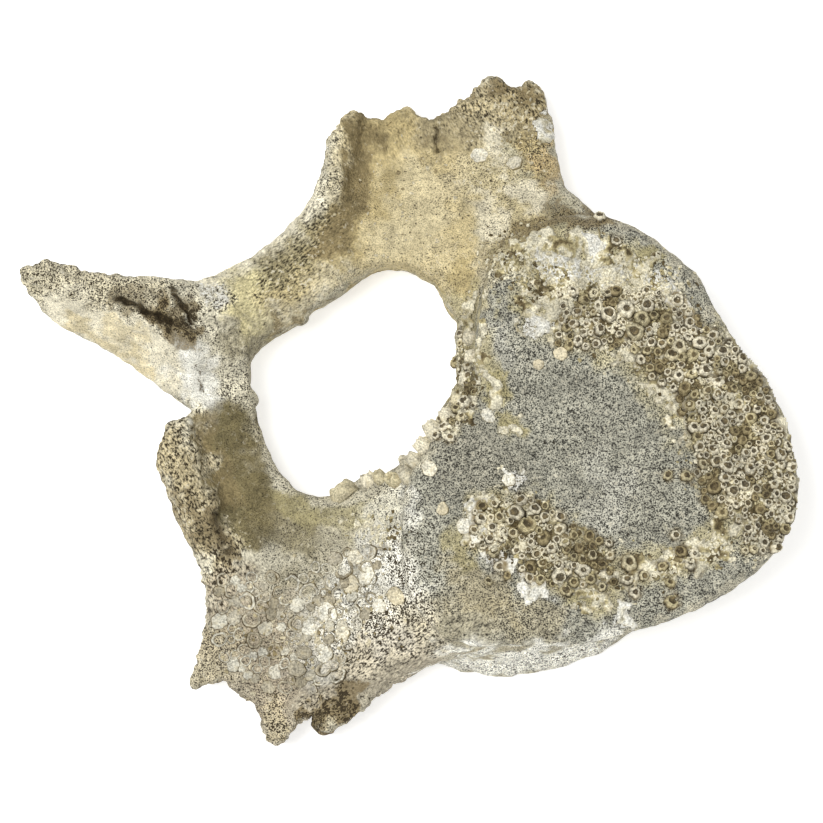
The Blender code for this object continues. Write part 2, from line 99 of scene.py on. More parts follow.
# Slices of the arch and the right process, from the canal's edge out: inner place, outer
# place, heights of the top at both, heights of the underside at both, hollow of the top
RIGHT_SLICES = [
    ((-54, 57), (-5, 108), (62, 62), (16, 16), 0),
    ((-81, 57), (-15, 120), (66, 66), (17, 17), 0),
    ((-92, 66), (-28, 132), (66, 64), (18, 20), 0),
    ((-95, 73), (-33, 147), (66, 60), (18, 20), 1),
    ((-99, 80), (-36, 160), (66, 56), (20, 18), 3),
    ((-105, 84), (-40, 196), (66, 50), (22, 14), 6),
    ((-116, 89), (-65, 204), (66, 48), (24, 12), 8),
    ((-127, 89), (-92, 196), (66, 48), (25, 12), 8),
    ((-135, 87), (-119, 190), (66, 50), (26, 13), 7),
    ((-143, 82), (-147, 181), (66, 56), (26, 16), 4),
    ((-151, 75), (-157, 154), (65, 60), (26, 20), 1),
    ((-159, 70), (-163, 135), (64, 60), (26, 24), 0),
    ((-167, 66), (-172, 119), (62, 60), (25, 28), 0),
    ((-178, 57), (-187, 104), (61, 60), (24, 30), 0),
    ((-190, 51), (-204, 93), (60, 62), (24, 30), 0),
    ((-197, 45), (-218, 86), (60, 66), (24, 28), 0),
    ((-201, 35), (-229, 81), (62, 70), (24, 26), 0),
    ((-204, 26), (-236, 71), (64, 74), (24, 26), 0),
]

# Slices of the arch and the left process, in the same way
LEFT_SLICES = [
    ((-81, 3), (-32, -89), (84, 84), (16, 14), 0),
    ((-98, -6), (-62, -110), (87, 85), (14, 13), 0),
    ((-108, -10), (-82, -118), (86, 80), (14, 12), 0),
    ((-118, -16), (-103, -125), (79, 71), (16, 12), 1),
    ((-130, -23), (-127, -138), (70, 62), (18, 12), 3),
    ((-142, -29), (-149, -166), (64, 54), (20, 12), 5),
    ((-152, -33), (-167, -176), (62, 50), (22, 12), 7),
    ((-160, -34), (-184, -182), (62, 48), (23, 12), 8),
    ((-167, -32), (-200, -172), (61, 48), (24, 13), 8),
    ((-173, -30), (-219, -155), (60, 50), (24, 14), 7),
    ((-178, -25), (-231, -142), (60, 52), (24, 16), 6),
    ((-183, -21), (-226, -111), (59, 56), (24, 18), 4),
    ((-186, -16), (-223, -89), (58, 58), (24, 22), 3),
    ((-189, -10), (-227, -69), (58, 60), (24, 24), 3),
    ((-192, -4), (-237, -50), (58, 62), (24, 26), 3),
    ((-194, 3), (-243, -37), (58, 64), (24, 28), 3),
    ((-197, 9), (-249, -12), (58, 64), (24, 30), 2),
    ((-197, 15), (-240, 3), (59, 63), (24, 30), 0),
    ((-201, 22), (-229, 13), (60, 62), (24, 28), 0),
    ((-203, 30), (-224, 25), (60, 62), (24, 26), 0),
]
SLICE_CORNERS = 24
SLICE_SQUARENESS = 0.62

# Slices of the neural spine: upper edge, lower edge, how far across the crest lies, and the
# heights of the crest, the upper edge, the lower edge and the underside
SPINE_SLICES = [
    ((-201, 57), (-201, 19), 0.50, 62, 58, 57, 24),
    ((-213, 86), (-213, 12), 0.58, 69, 60, 57, 24),
    ((-228, 84), (-233, 15), 0.62, 75, 62, 52, 26),
    ((-243, 85), (-249, 26), 0.58, 80, 66, 48, 28),
    ((-259, 86), (-263, 37), 0.52, 83, 70, 50, 32),
    ((-280, 88), (-278, 47), 0.47, 87, 76, 56, 40),
    ((-292, 89), (-292, 54), 0.46, 90, 80, 62, 46),
    ((-301, 92), (-306, 62), 0.46, 92, 84, 68, 52),
    ((-311, 94), (-315, 71), 0.46, 94, 87, 75, 60),
    ((-320, 92), (-321, 80), 0.48, 94, 90, 85, 72),
    ((-324, 89), (-324, 84), 0.50, 91, 89, 87, 80),
]

# Ridges, each a row of places with a height and a radius
RIGHT_PROCESS_EDGE = [
    (-162, 112, 52, 8), (-155, 133, 56, 8), (-150, 155, 55, 8), (-145, 186, 51, 8),
]
JOINT_FACET = [(-237, 0, 59, 10), (-240, -13, 61, 12), (-232, -29, 59, 12), (-224, -45, 56, 11)]
SPINE_SIDE_FINGER = [(-170, -118, 38, 15), (-178, -140, 32, 14), (-186, -178, 27, 13)]
BELLY_SIDE_FINGER = [(-138, -118, 38, 14), (-150, -142, 32, 12), (-164, -172, 28, 11)]
CANAL_KNOB = [(-205, 22, 52, 7), (-198, 18, 50, 5)]
CANAL_LIP = [(-180, 70, 50, 8), (-171, 62, 48, 5)]
RIDGES = [
    RIGHT_PROCESS_EDGE, JOINT_FACET, SPINE_SIDE_FINGER, BELLY_SIDE_FINGER, CANAL_KNOB, CANAL_LIP,
]
RIDGE_SIDES = 12
RIDGE_BLUNTNESS = 0.6

# Broken ends: jagged outlines that are cut through the bone along the sight line
RIGHT_BREAK = [
    (-152, 164), (-149, 172), (-143, 174), (-135, 170), (-127, 169), (-120, 175), (-114, 177),
    (-110, 172), (-103, 169), (-97, 171), (-92, 173), (-87, 180), (-81, 181), (-76, 189),
    (-70, 193), (-65, 192), (-60, 187), (-54, 187), (-50, 191), (-46, 189), (-41, 184),
    (-38, 172), (-10, 172), (-10, 240), (-190, 240), (-190, 164),
]
LEFT_BREAK = [
    (-230, -136), (-220, -134), (-215, -131), (-208, -136), (-204, -140), (-197, -144),
    (-195, -150), (-192, -156), (-189, -165), (-185, -168), (-180, -165), (-177, -158),
    (-174, -154), (-169, -152), (-164, -147), (-165, -156), (-161, -161), (-156, -160),
    (-145, -153), (-131, -141), (-118, -134), (-90, -150), (-90, -240), (-280, -240),
    (-280, -136),
]
BREAK_REACH = (-20.0, 150.0)

# Crevices: a row of places, the half width, the depth and how much painted shade darkens
# them.  First the two in the spine with the hollows beside them, then the channel below the
# joint facet, the notch in the right process and the spine's groove
CREVICES = [
    ([(-273, 74), (-262, 70), (-251, 65), (-243, 61)], 1.3, 7.0, 1.0),
    ([(-241, 78), (-235, 69), (-230, 60)], 0.9, 5.0, 0.9),
    ([(-245, 60), (-240, 54), (-237, 48)], 2.6, 3.0, 0.1),
    ([(-233, 63), (-229, 57)], 2.0, 3.0, 0.1),
    ([(-218, -44), (-215, -54), (-212, -64)], 2.4, 5.0, 0.5),
    ([(-100, 166), (-100, 160), (-99, 154)], 0.9, 5.0, 0.8),
    ([(-228, 39), (-227, 31), (-226, 23)], 0.5, 0.6, 0.8),
]

# Broad hollows, in the same way: the smooth one beside the joint facet, and that of the right
# process
BROAD_HOLLOWS = [
    ([(-206, -6), (-200, -30), (-180, -50)], 20.0, 4.5),
    ([(-118, 158), (-122, 132), (-138, 106)], 24.0, 3.5),
    ([(-170, -78), (-180, -105)], 22.0, 3.0),
    ([(-141, 168), (-138, 148), (-140, 120)], 12.0, 3.2),
    ([(-227, 2), (-221, -14), (-213, -30), (-211, -44)], 6.0, 3.5),
]

# Rough bands: a row of places and the half width.  The spine's crest, the joint facet and
# the edge of the right process
ROUGH_BANDS = [
    ([(-322, 88), (-298, 82), (-264, 76), (-234, 66)], 14.0),
    ([(-240, 0), (-234, -26), (-222, -48)], 17.0),
    ([(-158, 122), (-150, 170)], 9.0),
    ([(-152, 172), (-127, 169), (-97, 171), (-76, 187), (-46, 190)], 9.0),
    ([(-226, -132), (-204, -140), (-186, -166), (-164, -150), (-156, -158), (-120, -136)], 9.0),
    ([(-222, -60), (-226, -100), (-228, -130)], 10.0),
    ([(-150, -118), (-160, -140)], 9.0),
]

# Seams between the centrum and the arch, which are rounded off
SEAMS = [
    [(0, 114), (-10, 119), (-32, 117), (-54, 110), (-68, 98), (-73, 73), (-77, 51), (-82, 22)],
    [(-99, 0), (-115, -25), (-117, -51), (-114, -84), (-92, -111)],
]
SEAM_WIDTH = 8.0
SEAM_SMOOTHING = 80

# Skin of the bone: the fineness of its mesh, and the sizes, in millimetres, and heights of its
# swells, lumps, grain and pits, with how much stronger they are in the rough bands
SKIN_VOXEL = 1.15
SKIN_SMOOTHING = 18
EDGE_SMOOTHING = 3
BONE_TRIANGLES = 190000
SWELL_SIZE, SWELL_HEIGHT = 26.0, 1.1
LUMP_SIZE, LUMP_HEIGHT = 9.0, 1.0
ROUGHENING = 2.0
GRAIN_SIZE, GRAIN_HEIGHT, GRAIN_ROUGHENING = 3.6, 0.55, 2.5
PIT_SIZE, PIT_DEPTH, PIT_REACH = 3.2, 1.3, 0.36
CRUST_HEIGHT = 1.6
CRUST_SPREAD = 1.2
CRUST_LUMP_SIZE, CRUST_LUMP_HEIGHT = 6.0, 1.2
CREVICE_SPREAD = 1.6
UNDERSIDE_TRIANGLES = 46000
UNDERSIDE_SLOPE = -0.1

# Colonies of barnacles: a row of places and a half width
CRESCENT = [(-20, 62), (12, 62), (34, 44), (50, 22), (56, 0), (58, -20), (70, -32)]
LOWER_CLUSTER = [(-66, -48), (-48, -50), (-34, -66), (-16, -68)]
CANAL_FLOOR = [(-88, 52), (-84, 34), (-86, 18), (-98, 2)]
COLONIES = [(CRESCENT, 15.0), (LOWER_CLUSTER, 13.0), (CANAL_FLOOR, 5.0)]


def seen(across, up, height):
    """Point at a height that is seen at this place on the page."""
    page = TARGET + Vector((across - PAGE_MIDDLE[0], 0.0, 0.0)) + PAGE_UP * (up - PAGE_MIDDLE[1])
    reach = (height - EYE.z) / (page.z - EYE.z)
    return (EYE + (page - EYE) * reach) * MM


def places_on_page(points):
    """Where points, in millimetres, are seen on the page."""
    sight = points - np.array(EYE)
    reach = SIGHT_DISTANCE / -(sight @ np.array(SIGHT_AXIS))
    across = sight[:, 0] * reach + PAGE_MIDDLE[0]
    up = (sight @ np.array(PAGE_UP)) * reach + PAGE_MIDDLE[1]
    return np.stack([across, up], axis=1)


def between(first, last, share):
    """Number a share of the way from the first to the last."""
    return first + (last - first) * share


def spline(knots, share, closed=False):
    """Smooth curve through equal rows of numbers, read at a share of its length."""
    gaps = len(knots) if closed else len(knots) - 1
    whole = min(int(share * gaps), gaps - 1)
    step = share * gaps - whole
    picks = []
    for offset in (-1, 0, 1, 2):
        index = whole + offset
        picks.append(knots[index % len(knots) if closed else max(0, min(index, len(knots) - 1))])
    a, b, c, d = (Vector(pick) for pick in picks)
    return 0.5 * (2 * b + (c - a) * step + (2 * a - 5 * b + 4 * c - d) * step ** 2
                  + (3 * b - a - 3 * c + d) * step ** 3)


def reach_of(outline, angle):
    """How far an outline of the centrum reaches from its middle in one direction."""
    ray = Vector((math.cos(angle), math.sin(angle)))
    farthest = 0.0
    for start, end in zip(outline, outline[1:] + outline[:1]):
        corner = start - Vector(CENTRUM_MIDDLE)
        edge = end - start
        turn = ray.cross(edge)
        if turn == 0.0:
            continue
        along = corner.cross(edge) / turn
        share = corner.cross(ray) / turn
        if along > 0.0 and 0.0 <= share <= 1.0:
            farthest = max(farthest, along)
    return farthest


def loft(skin, rings):
    """Closed skin over a row of rings with equally many corners."""
    last_edges = None
    for number, ring in enumerate(rings):
        is_end = number in (0, len(rings) - 1)
        made = bmesh.ops.create_circle(skin, cap_ends=is_end, radius=1.0, segments=len(ring))
        for vertex, point in zip(made["verts"], ring):
            vertex.co = point
        edges = {edge for vertex in made["verts"] for edge in vertex.link_edges}
        if last_edges:
            bmesh.ops.bridge_loops(skin, edges=list(last_edges | edges))
        last_edges = edges


def angles(sides):
    """Directions of the corners of an even ring."""
    return [2.0 * math.pi * corner / sides for corner in range(sides)]


def centrum_ring(outlines, height, swell):
    """Ring of the centrum at a height, between the outlines below and above it."""
    lower, upper = outlines[:2] if height < WAIST_HEIGHT else outlines[1:]
    share = max(0.0, min(1.0, (height - lower[0]) / (upper[0] - lower[0])))
    ring = []
    for angle in angles(CENTRUM_SIDES):
        reach = between(reach_of(lower[1], angle), reach_of(upper[1], angle), share)
        spoke = Vector((math.cos(angle), math.sin(angle))) * (reach + SKIN_SHRINKAGE + swell)
        ring.append(seen(*(Vector(CENTRUM_MIDDLE) + spoke), height))
    return ring


def centrum(skin):
    """Body of the vertebra: two flat ends with a narrower waist between them."""
    outlines = []
    for height, knots in CENTRUM_OUTLINES:
        curve = [spline(knots, step / OUTLINE_STEPS, closed=True) for step in range(OUTLINE_STEPS)]
        outlines.append((height, curve))
    loft(skin, [centrum_ring(outlines, height, swell) for height, swell in CENTRUM_RINGS])


def slice_ring(row):
    """Ring of a slab of the arch, which runs from its inner to its outer edge."""
    tops, undersides, hollow = row[4:6], row[6:8], row[8]
    inner_edge = seen(row[0], row[1], (tops[0] + undersides[0]) / 2)
    outer_edge = seen(row[2], row[3], (tops[1] + undersides[1]) / 2)
    ring = []
    for angle in angles(SLICE_CORNERS):
        out = math.copysign(abs(math.cos(angle)) ** SLICE_SQUARENESS, math.cos(angle))
        rise = math.copysign(abs(math.sin(angle)) ** SLICE_SQUARENESS, math.sin(angle))
        share = (1.0 + out) / 2.0
        top = between(tops[0], tops[1], share) - hollow * math.sin(math.pi * share)
        low = between(undersides[0], undersides[1], share)
        point = inner_edge.lerp(outer_edge, share)
        point.z = ((top + low) / 2 + rise * (top - low) / 2) * MM
        ring.append(point)
    return ring


def flat_row(row):
    """Numbers of a row of a table, nested or not, as one plain tuple."""
    numbers = []
    for entry in row:
        numbers.extend(entry if isinstance(entry, tuple) else (entry,))
    return tuple(numbers)


def sliced(skin, slices, ring_of):
    """Part of the bone that is given in slices, with one more ring between each two."""
    rows = [flat_row(row) for row in slices]
    count = 2 * len(rows) - 1
    loft(skin, [ring_of(spline(rows, number / (count - 1))) for number in range(count)])


def spine_ring(row):
    """Ring of the neural spine: a rough crest that drops to a smooth lower side."""
    crest_at, crest, upper, lower, under = row[4:9]
    upper_edge = seen(row[0], row[1], upper)
    lower_edge = seen(row[2], row[3], lower)
    profile = [
        (0.0, upper), (0.10, between(upper, crest, 0.75)), (crest_at * 0.6, crest),
        (crest_at, crest), (between(crest_at, 1.0, 0.5), between(crest, lower, 0.55)), (1.0, lower),
        (0.92, between(lower, under, 0.6)), (0.6, under), (0.15, between(under, upper, 0.25)),
    ]
    ring = []
    for corner in range(SLICE_CORNERS):
        share, height = spline(profile, corner / SLICE_CORNERS, closed=True)
        point = upper_edge.lerp(lower_edge, share)
        point.z = height * MM
        ring.append(point)
    return ring


def ridge(skin, knots):
    """Round ridge through a row of places, with a blunt start and end."""
    centres = [seen(across, up, height) for across, up, height, radius in knots]
    radii = [knot[3] * MM for knot in knots]
    rings = []
    for number, (centre, radius) in enumerate(zip(centres, radii)):
        ahead = centres[min(number + 1, len(centres) - 1)] - centres[max(number - 1, 0)]
        turn = ahead.normalized().to_track_quat("Z", "Y")
        circle = [
            turn @ Vector((math.cos(angle), math.sin(angle), 0.0)) * radius
            for angle in angles(RIDGE_SIDES)
        ]
        tip = turn @ Vector((0.0, 0.0, radius * RIDGE_BLUNTNESS))
        if number == 0:
            rings.append([centre - tip + point * RIDGE_BLUNTNESS for point in circle])
        rings.append([centre + point for point in circle])
        if number == len(knots) - 1:
            rings.append([centre + tip + point * RIDGE_BLUNTNESS for point in circle])
    loft(skin, rings)


def in_scene(name, data):
    """Object of this mesh, lamp or lens, put into the scene."""
    made = bpy.data.objects.new(name, data)
    bpy.context.scene.collection.objects.link(made)
    return made


def new_object(name, skin):
    """Object that takes over a bmesh."""
    mesh = bpy.data.meshes.new(name)
    skin.to_mesh(mesh)
    skin.free()
    return in_scene(name, mesh)


def settle(made):
    """Replaces an object's mesh by what its modifiers make of it."""
    bpy.context.view_layer.update()
    evaluated = made.evaluated_get(bpy.context.evaluated_depsgraph_get())
    mesh = bpy.data.meshes.new_from_object(evaluated)
    made.modifiers.clear()
    made.data = mesh


def rounding(made, iterations, group=""):
    """Smooths an object, or only what is in one of its groups."""
    smooth = made.modifiers.new("rounding", "SMOOTH")
    smooth.vertex_group = group
    smooth.factor = 0.5
    smooth.iterations = iterations
    settle(made)


def one_skin(made, iterations):
    """Joins what overlaps in an object into one skin of even small faces, and rounds it."""
    remesh = made.modifiers.new("one skin", "REMESH")
    remesh.mode = "VOXEL"
    remesh.voxel_size = SKIN_VOXEL * MM
    rounding(made, iterations)


def cut_break(made, name, outline):
    """Cuts a jagged outline through the bone, all along the sight line."""
    skin = bmesh.new()
    corners = [skin.verts.new(seen(across, up, BREAK_REACH[0])) for across, up in outline]
    floor = skin.faces.new(corners)
    raised = bmesh.ops.extrude_face_region(skin, geom=[floor])["geom"]
    tops = [item for item in raised if isinstance(item, bmesh.types.BMVert)]
    places = places_on_page(np.array([vertex.co[:] for vertex in tops]) / MM)
    for vertex, (across, up) in zip(tops, places):
        vertex.co = seen(across, up, BREAK_REACH[1])
    bmesh.ops.recalc_face_normals(skin, faces=skin.faces)
    cutter = new_object(name, skin)
    boolean = made.modifiers.new(name, "BOOLEAN")
    boolean.object = cutter
    boolean.solver = "EXACT"
    return cutter


def distance_to(places, path):
    """How far each place lies from a row of places."""
    nearest = np.full(len(places), np.inf)
    for start, end in zip(path, path[1:] or path):
        run = np.subtract(end, start).astype(float)
        gap = places - np.array(start, float)
        share = np.clip(gap @ run / max(run @ run, 1.0), 0.0, 1.0)
        gap = gap - share[:, None] * run
        nearest = np.minimum(nearest, np.hypot(gap[:, 0], gap[:, 1]))
    return nearest


def band(places, path, half_width, power=2):
    """From 0 outside a band along a row of places to 1 in its middle."""
    return np.clip(1.0 - (distance_to(places, path) / half_width) ** power, 0.0, 1.0)


def within(places, outline, softness):
    """From 0 outside an outline to 1 inside it, with a soft edge."""
    closed = outline + outline[:1]
    is_inside = np.zeros(len(places), bool)
    for (x0, y0), (x1, y1) in zip(closed, closed[1:]):
        if y0 == y1:
            continue
        crosses = (y0 > places[:, 1]) != (y1 > places[:, 1])
        is_inside ^= crosses & (places[:, 0] < x0 + (places[:, 1] - y0) * (x1 - x0) / (y1 - y0))
    distance = distance_to(places, closed)
    signed = np.where(is_inside, distance, -distance)
    return np.clip(signed / softness + 0.5, 0.0, 1.0)


def noise_at(points, size, shift=0.0):
    """Smooth noise at each point, from about -0.5 to 0.5."""
    return np.array([noise.noise(Vector(point)) for point in (points / size + shift).tolist()])


def pits_at(points, size, reach):
    """How deep each point lies in the pits that are strewn over the bone, from 0 to 1."""
    nearest = [noise.voronoi(Vector(point))[0][0] for point in (points / size).tolist()]
    return np.clip(1.0 - np.array(nearest) / reach, 0.0, 1.0)


def corners_of(mesh):
    """Points, in millimetres, and normals of a mesh."""
    points = np.empty(len(mesh.vertices) * 3)
    mesh.vertices.foreach_get("co", points)
    normals = np.empty(len(mesh.vertices) * 3)
    mesh.vertex_normals.foreach_get("vector", normals)
    return points.reshape(-1, 3) / MM, normals.reshape(-1, 3)


def keep(mesh, name, values):
    """Keeps a number at each corner of a mesh, for the materials to read."""
    mesh.attributes.new(name, "FLOAT", "POINT").data.foreach_set("value", values)


def widest(places, rows, power=2):
    """From 0 outside a number of bands to 1 in the middle of any of them."""
    return np.max([band(places, path, half_width, power) for path, half_width in rows], axis=0)


def wandered(points, places, size, reach, steep=0.0):
    """Places shifted by noise, so that what is drawn along them gets a ragged edge."""
    shift = np.stack([noise_at(points, size, 3.1), noise_at(points, size, 7.7)], axis=1)
    return places + shift * reach * np.expand_dims(1.0 + 3.5 * np.asarray(steep), -1)


def weather(mesh):
    """Relief on the skin: swells, lumps, pits, crevices, the barnacles' crust; painted shade in
    crevices.
    """
    points, normals = corners_of(mesh)
    places = places_on_page(points)
    rough = widest(places, ROUGH_BANDS)
    lift = noise_at(points, SWELL_SIZE) * SWELL_HEIGHT
    lift += noise_at(points, LUMP_SIZE) * LUMP_HEIGHT * (1.0 + ROUGHENING * rough)
    lift += noise_at(points, GRAIN_SIZE, 5.0) * GRAIN_HEIGHT * (1.0 + GRAIN_ROUGHENING * rough)
    lift -= pits_at(points, PIT_SIZE, PIT_REACH * (1.0 + 0.5 * rough)) * PIT_DEPTH * (0.25 + rough)
    faces_up = np.clip(normals[:, 2] * 3.0, 0.0, 1.0)
    crust = widest(places, [(path, width * CRUST_SPREAD) for path, width in COLONIES], 4)
    crust_lumps = noise_at(points, CRUST_LUMP_SIZE, 9.0) * CRUST_LUMP_HEIGHT
    lift += faces_up * crust * (CRUST_HEIGHT + crust_lumps)
    moved = points + normals * lift[:, None]
    hollow = np.zeros(len(points))
    for path, half_width, depth in BROAD_HOLLOWS:
        moved[:, 2] -= faces_up * band(places, path, half_width) ** 2 * depth
    ragged = wandered(points, places, 5.0, 2.4)
    torn = 1.0 + 0.9 * noise_at(points, 3.0, 1.0)
    for path, half_width, depth, dark in CREVICES:
        share = faces_up * band(ragged, path, half_width * CREVICE_SPREAD, 1) * torn
        moved -= np.array(SIGHT_AXIS) * (share * depth)[:, None]
        # The crevices are also darkened in colour: painted shade, kept in the hollow mark
        hollow = np.maximum(hollow, np.clip(share * 1.5, 0.0, 1.0) * dark)
    moved[:, 2] = np.maximum(moved[:, 2], 0.0)
    keep(mesh, "hollow", hollow)
    mesh.vertices.foreach_set("co", (moved * MM).ravel())
    mesh.update()


def thin_out(made):
    """Fewer faces, most of all on the plain underside."""
    _, normals = corners_of(made.data)
    hidden = np.flatnonzero(normals[:, 2] < UNDERSIDE_SLOPE).tolist()
    under = made.vertex_groups.new(name="underside")
    under.add(hidden, 1.0, "REPLACE")
    total = sum(len(face.vertices) - 2 for face in made.data.polygons)
    kept = total - max(0, 2 * len(hidden) - UNDERSIDE_TRIANGLES)
    first = made.modifiers.new("plain underside", "DECIMATE")
    first.ratio = kept / total
    first.vertex_group = under.name
    first.vertex_group_factor = 1.0
    second = made.modifiers.new("fewer faces", "DECIMATE")
    second.ratio = min(1.0, BONE_TRIANGLES / kept)
    settle(made)
    made.vertex_groups.clear()


def round_seams(made):
    """Rounds off the creases where the arch meets the centrum."""
    points, normals = corners_of(made.data)
    places = places_on_page(points)
    near = widest(places, [(path, SEAM_WIDTH) for path in SEAMS]) * (normals[:, 2] > -0.2)
    seam = made.vertex_groups.new(name="seam")
    for number in np.flatnonzero(near > 0.05).tolist():
        seam.add([number], float(near[number]), "REPLACE")
    rounding(made, SEAM_SMOOTHING, seam.name)
    made.vertex_groups.clear()


def bone():
    """The bare bone, before anything grew on it."""
    skin = bmesh.new()
    centrum(skin)
    sliced(skin, RIGHT_SLICES, slice_ring)
    sliced(skin, LEFT_SLICES, slice_ring)
    sliced(skin, SPINE_SLICES, spine_ring)
    for knots in RIDGES:
        ridge(skin, knots)
    bmesh.ops.recalc_face_normals(skin, faces=skin.faces)
    made = new_object("weathered_bone", skin)
    one_skin(made, SKIN_SMOOTHING)
    round_seams(made)
    breaks = [("right break", RIGHT_BREAK), ("left break", LEFT_BREAK)]
    cutters = [cut_break(made, name, outline) for name, outline in breaks]
    one_skin(made, EDGE_SMOOTHING)
    for cutter in cutters:
        bpy.data.objects.remove(cutter)
    weather(made.data)
    thin_out(made)
    made.data.shade_smooth()
    return made


# Barnacles read one by one: across, up, radius
MEASURED_BARNACLES = [
    (-6, 65, 4.3), (3, 68, 4.9), (15, 70, 3.8), (12, 63, 4.3), (8, 56, 4.9), (16, 56, 2.7),
    (17, 50, 2.7), (23, 55, 3.2), (30, 58, 2.7), (32, 52, 2.7), (32, 48, 4.3), (28, 43, 3.8),
    (34, 42, 2.7), (39, 43, 3.8), (33, 38, 2.2), (32, 32, 3.2), (35, 25, 3.8), (39, 33, 3.2),
    (-29, 58, 2.7), (-25, 60, 2.7), (-10, 74, 1.6), (-2, 105, 2.7), (43, 50, 3.8),
    (49, 49, 2.7), (48, 45, 3.2), (46, 35, 3.8), (53, 29, 3.8), (53, 22, 3.2), (47, 24, 2.7),
    (59, 20, 3.2), (64, 17, 3.2), (51, 13, 2.7), (38, 16, 3.2), (40, 9, 3.2), (40, 4, 3.2),
    (42, -1, 3.2), (43, -6, 3.2), (51, 5, 2.2), (60, 11, 2.7), (65, 9, 2.7), (71, 9, 3.2),
    (78, 8, 2.7), (62, 2, 3.2), (51, -8, 3.2), (45, -16, 2.7), (52, -14, 3.2), (58, -17, 3.8),
    (72, -9, 2.7), (77, -8, 2.2), (26, -22, 2.7), (36, -22, 3.2), (48, -22, 2.2),
    (51, -28, 3.8), (65, -21, 2.2), (67, -27, 3.2), (74, -29, 2.7), (79, -32, 2.7),
    (55, -42, 3.8), (30, -54, 2.7), (33, -63, 3.2), (40, -64, 2.7), (38, -70, 3.2),
    (23, -71, 2.7), (27, -80, 2.7), (28, -90, 3.8), (13, -76, 2.7), (5, -69, 4.3),
    (4, -78, 3.2), (8, -85, 3.2), (-56, -42, 4.3), (-46, -40, 3.2), (-50, -49, 4.9),
    (-65, -45, 3.2), (-69, -50, 2.7), (-63, -52, 2.7), (-41, -56, 3.8), (-37, -61, 3.2),
    (-30, -58, 2.7), (-25, -54, 2.7), (-22, -61, 2.7), (-48, -71, 3.2), (-42, -69, 2.7),
    (-33, -70, 3.2), (-28, -73, 2.7), (-20, -73, 3.8), (-33, -76, 4.3), (-65, -71, 3.2),
    (-68, -63, 3.2), (-61, -76, 2.2), (-71, -79, 2.2), (-49, -77, 2.7), (-43, -78, 2.7),
    (-29, -84, 3.2), (-15, -65, 2.7), (-11, 118, 3.6),
]

# Small barnacles filled in between: a row of places, a half width and how many
SMALL_COLONIES = [
    (CRESCENT, 15.0, 190), (LOWER_CLUSTER, 14.0, 60), (CANAL_FLOOR, 6.0, 30),
    ([(60, 10), (80, -10), (84, -30), (76, -55)], 9.0, 60),
    ([(53, 46), (71, 24), (81, 0), (87, -24)], 5.0, 30),
]
SMALL_RADII = (1.6, 3.5)
CROWDING = 0.86
TRIES = 9000

# Wall of a barnacle from its root over the rim to the floor of its pit: share of the radius,
# share of the height, and how far the place lies in the pit, which darkens it partly as the
# pit's fill and partly as painted shade inside the rim and at the root
SHELL_PROFILE = [
    (1.14, -0.45, 0.9), (1.05, 0.03, 0.75), (0.95, 0.34, 0.15), (0.84, 0.70, 0.0),
    (0.74, 0.97, 0.0), (0.67, 1.02, 0.0), (0.60, 0.82, 0.4), (0.53, 0.50, 0.95),
    (0.36, 0.24, 1.0), (0.10, 0.20, 0.9),
]
SHELL_SIDES = 18
SHELL_PLATES = 6
SHELL_TALLNESS = (0.45, 1.15)
SHELL_OPENNESS = (0.62, 1.2)
SHELL_FILLING = (0.0, 1.0)
SHELL_TILT = 0.24
WALL_LOBES = [(2, 0.12), (3, 0.07), (5, 0.04)]
WALL_UNEVENNESS = (-0.03, 0.03)
RIM_CHIPS = (-0.22, 0.06)
BROKEN_SHARE = 0.3
SHELL_UPRIGHTNESS = 0.7
SHELL_LEAN = Vector((0.06, 0.34, 0.0))
SHELL_SEED = 11

# Scars: flat bases of barnacles that have gone, in the same way
SCAR_PROFILE = [
    (1.08, -0.9, 1.0), (1.02, 0.15, 0.9), (0.95, 0.9, 0.0), (0.80, 1.0, 0.0), (0.70, 0.3, 0.4),
    (0.62, -0.9, 0.5),
]
BASE_PROFILE = [
    (1.06, -0.8, 0.9), (1.02, 0.4, 0.7), (0.94, 0.95, 0.0), (0.80, 1.0, 0.0), (0.40, 0.95, 0.0),
]
SCAR_COLONIES = [
    ([(-182, -90), (-166, -92), (-152, -86), (-143, -76)], 14.0, 60),
    ([(-200, -104), (-186, -114), (-176, -120), (-162, -108)], 17.0, 84),
    ([(-208, -84), (-198, -92)], 9.0, 14),
]
SCAR_RADII = (2.6, 5.2)
SCAR_HEIGHT = 0.75
SCAR_CROWDING = 0.78
BARE_BASE_HEIGHT = SCAR_HEIGHT * 1.3
BARE_BASES = [
    (-57, 147, 4.3), (-76, 151, 4.8), (-121, -87, 5.0), (-103, -18, 4.3), (-96, -40, 3.6),
    (-137, -76, 5.0), (-146, -80, 5.4), (-158, -96, 5.6), (-150, -108, 4.6), (-160, -118, 5.2),
    (-143, -66, 4.2), (-130, -92, 4.0), (-84, -49, 4.4), (-78, -55, 4.0), (-168, -104, 4.4),
    (-32, 44, 3.8), (-44, 38, 3.0), (-71, 11, 4.2), (-54, 96, 2.8), (-60, -24, 3.8),
]

# Crumbs of shell and chalk that the crust is made of: a row of places, half width, how many
CRUMB_FIELDS = [
    (CRESCENT, 21.0, 1500), (LOWER_CLUSTER, 18.0, 620), (CANAL_FLOOR, 9.0, 420),
    ([(-62, 98), (-42, 84), (-20, 78), (6, 84), (30, 74)], 15.0, 1300),
    ([(-140, -50), (-125, -52)], 9.0, 140), ([(62, 12), (84, -24), (74, -60)], 12.0, 500),
    ([(-70, -38), (-66, -62)], 8.0, 260), ([(20, -76), (56, -58)], 8.0, 200),
]
BONE_CRUMB_FIELDS = [
    ([(-120, 150), (-112, 124), (-130, 104)], 26.0, 60),
    ([(-200, -100), (-170, -112), (-140, -92)], 26.0, 300), ([(-72, 172), (-50, 160)], 18.0, 120),
]
CRUMB_RADII = (0.45, 1.5)
CRUMB_STRETCHES = [(0.6, 1.5), (0.6, 1.3), (0.3, 0.8)]
CRUMB_BUMPS = (0.6, 1.25)
CRUMB_TILT = 0.35

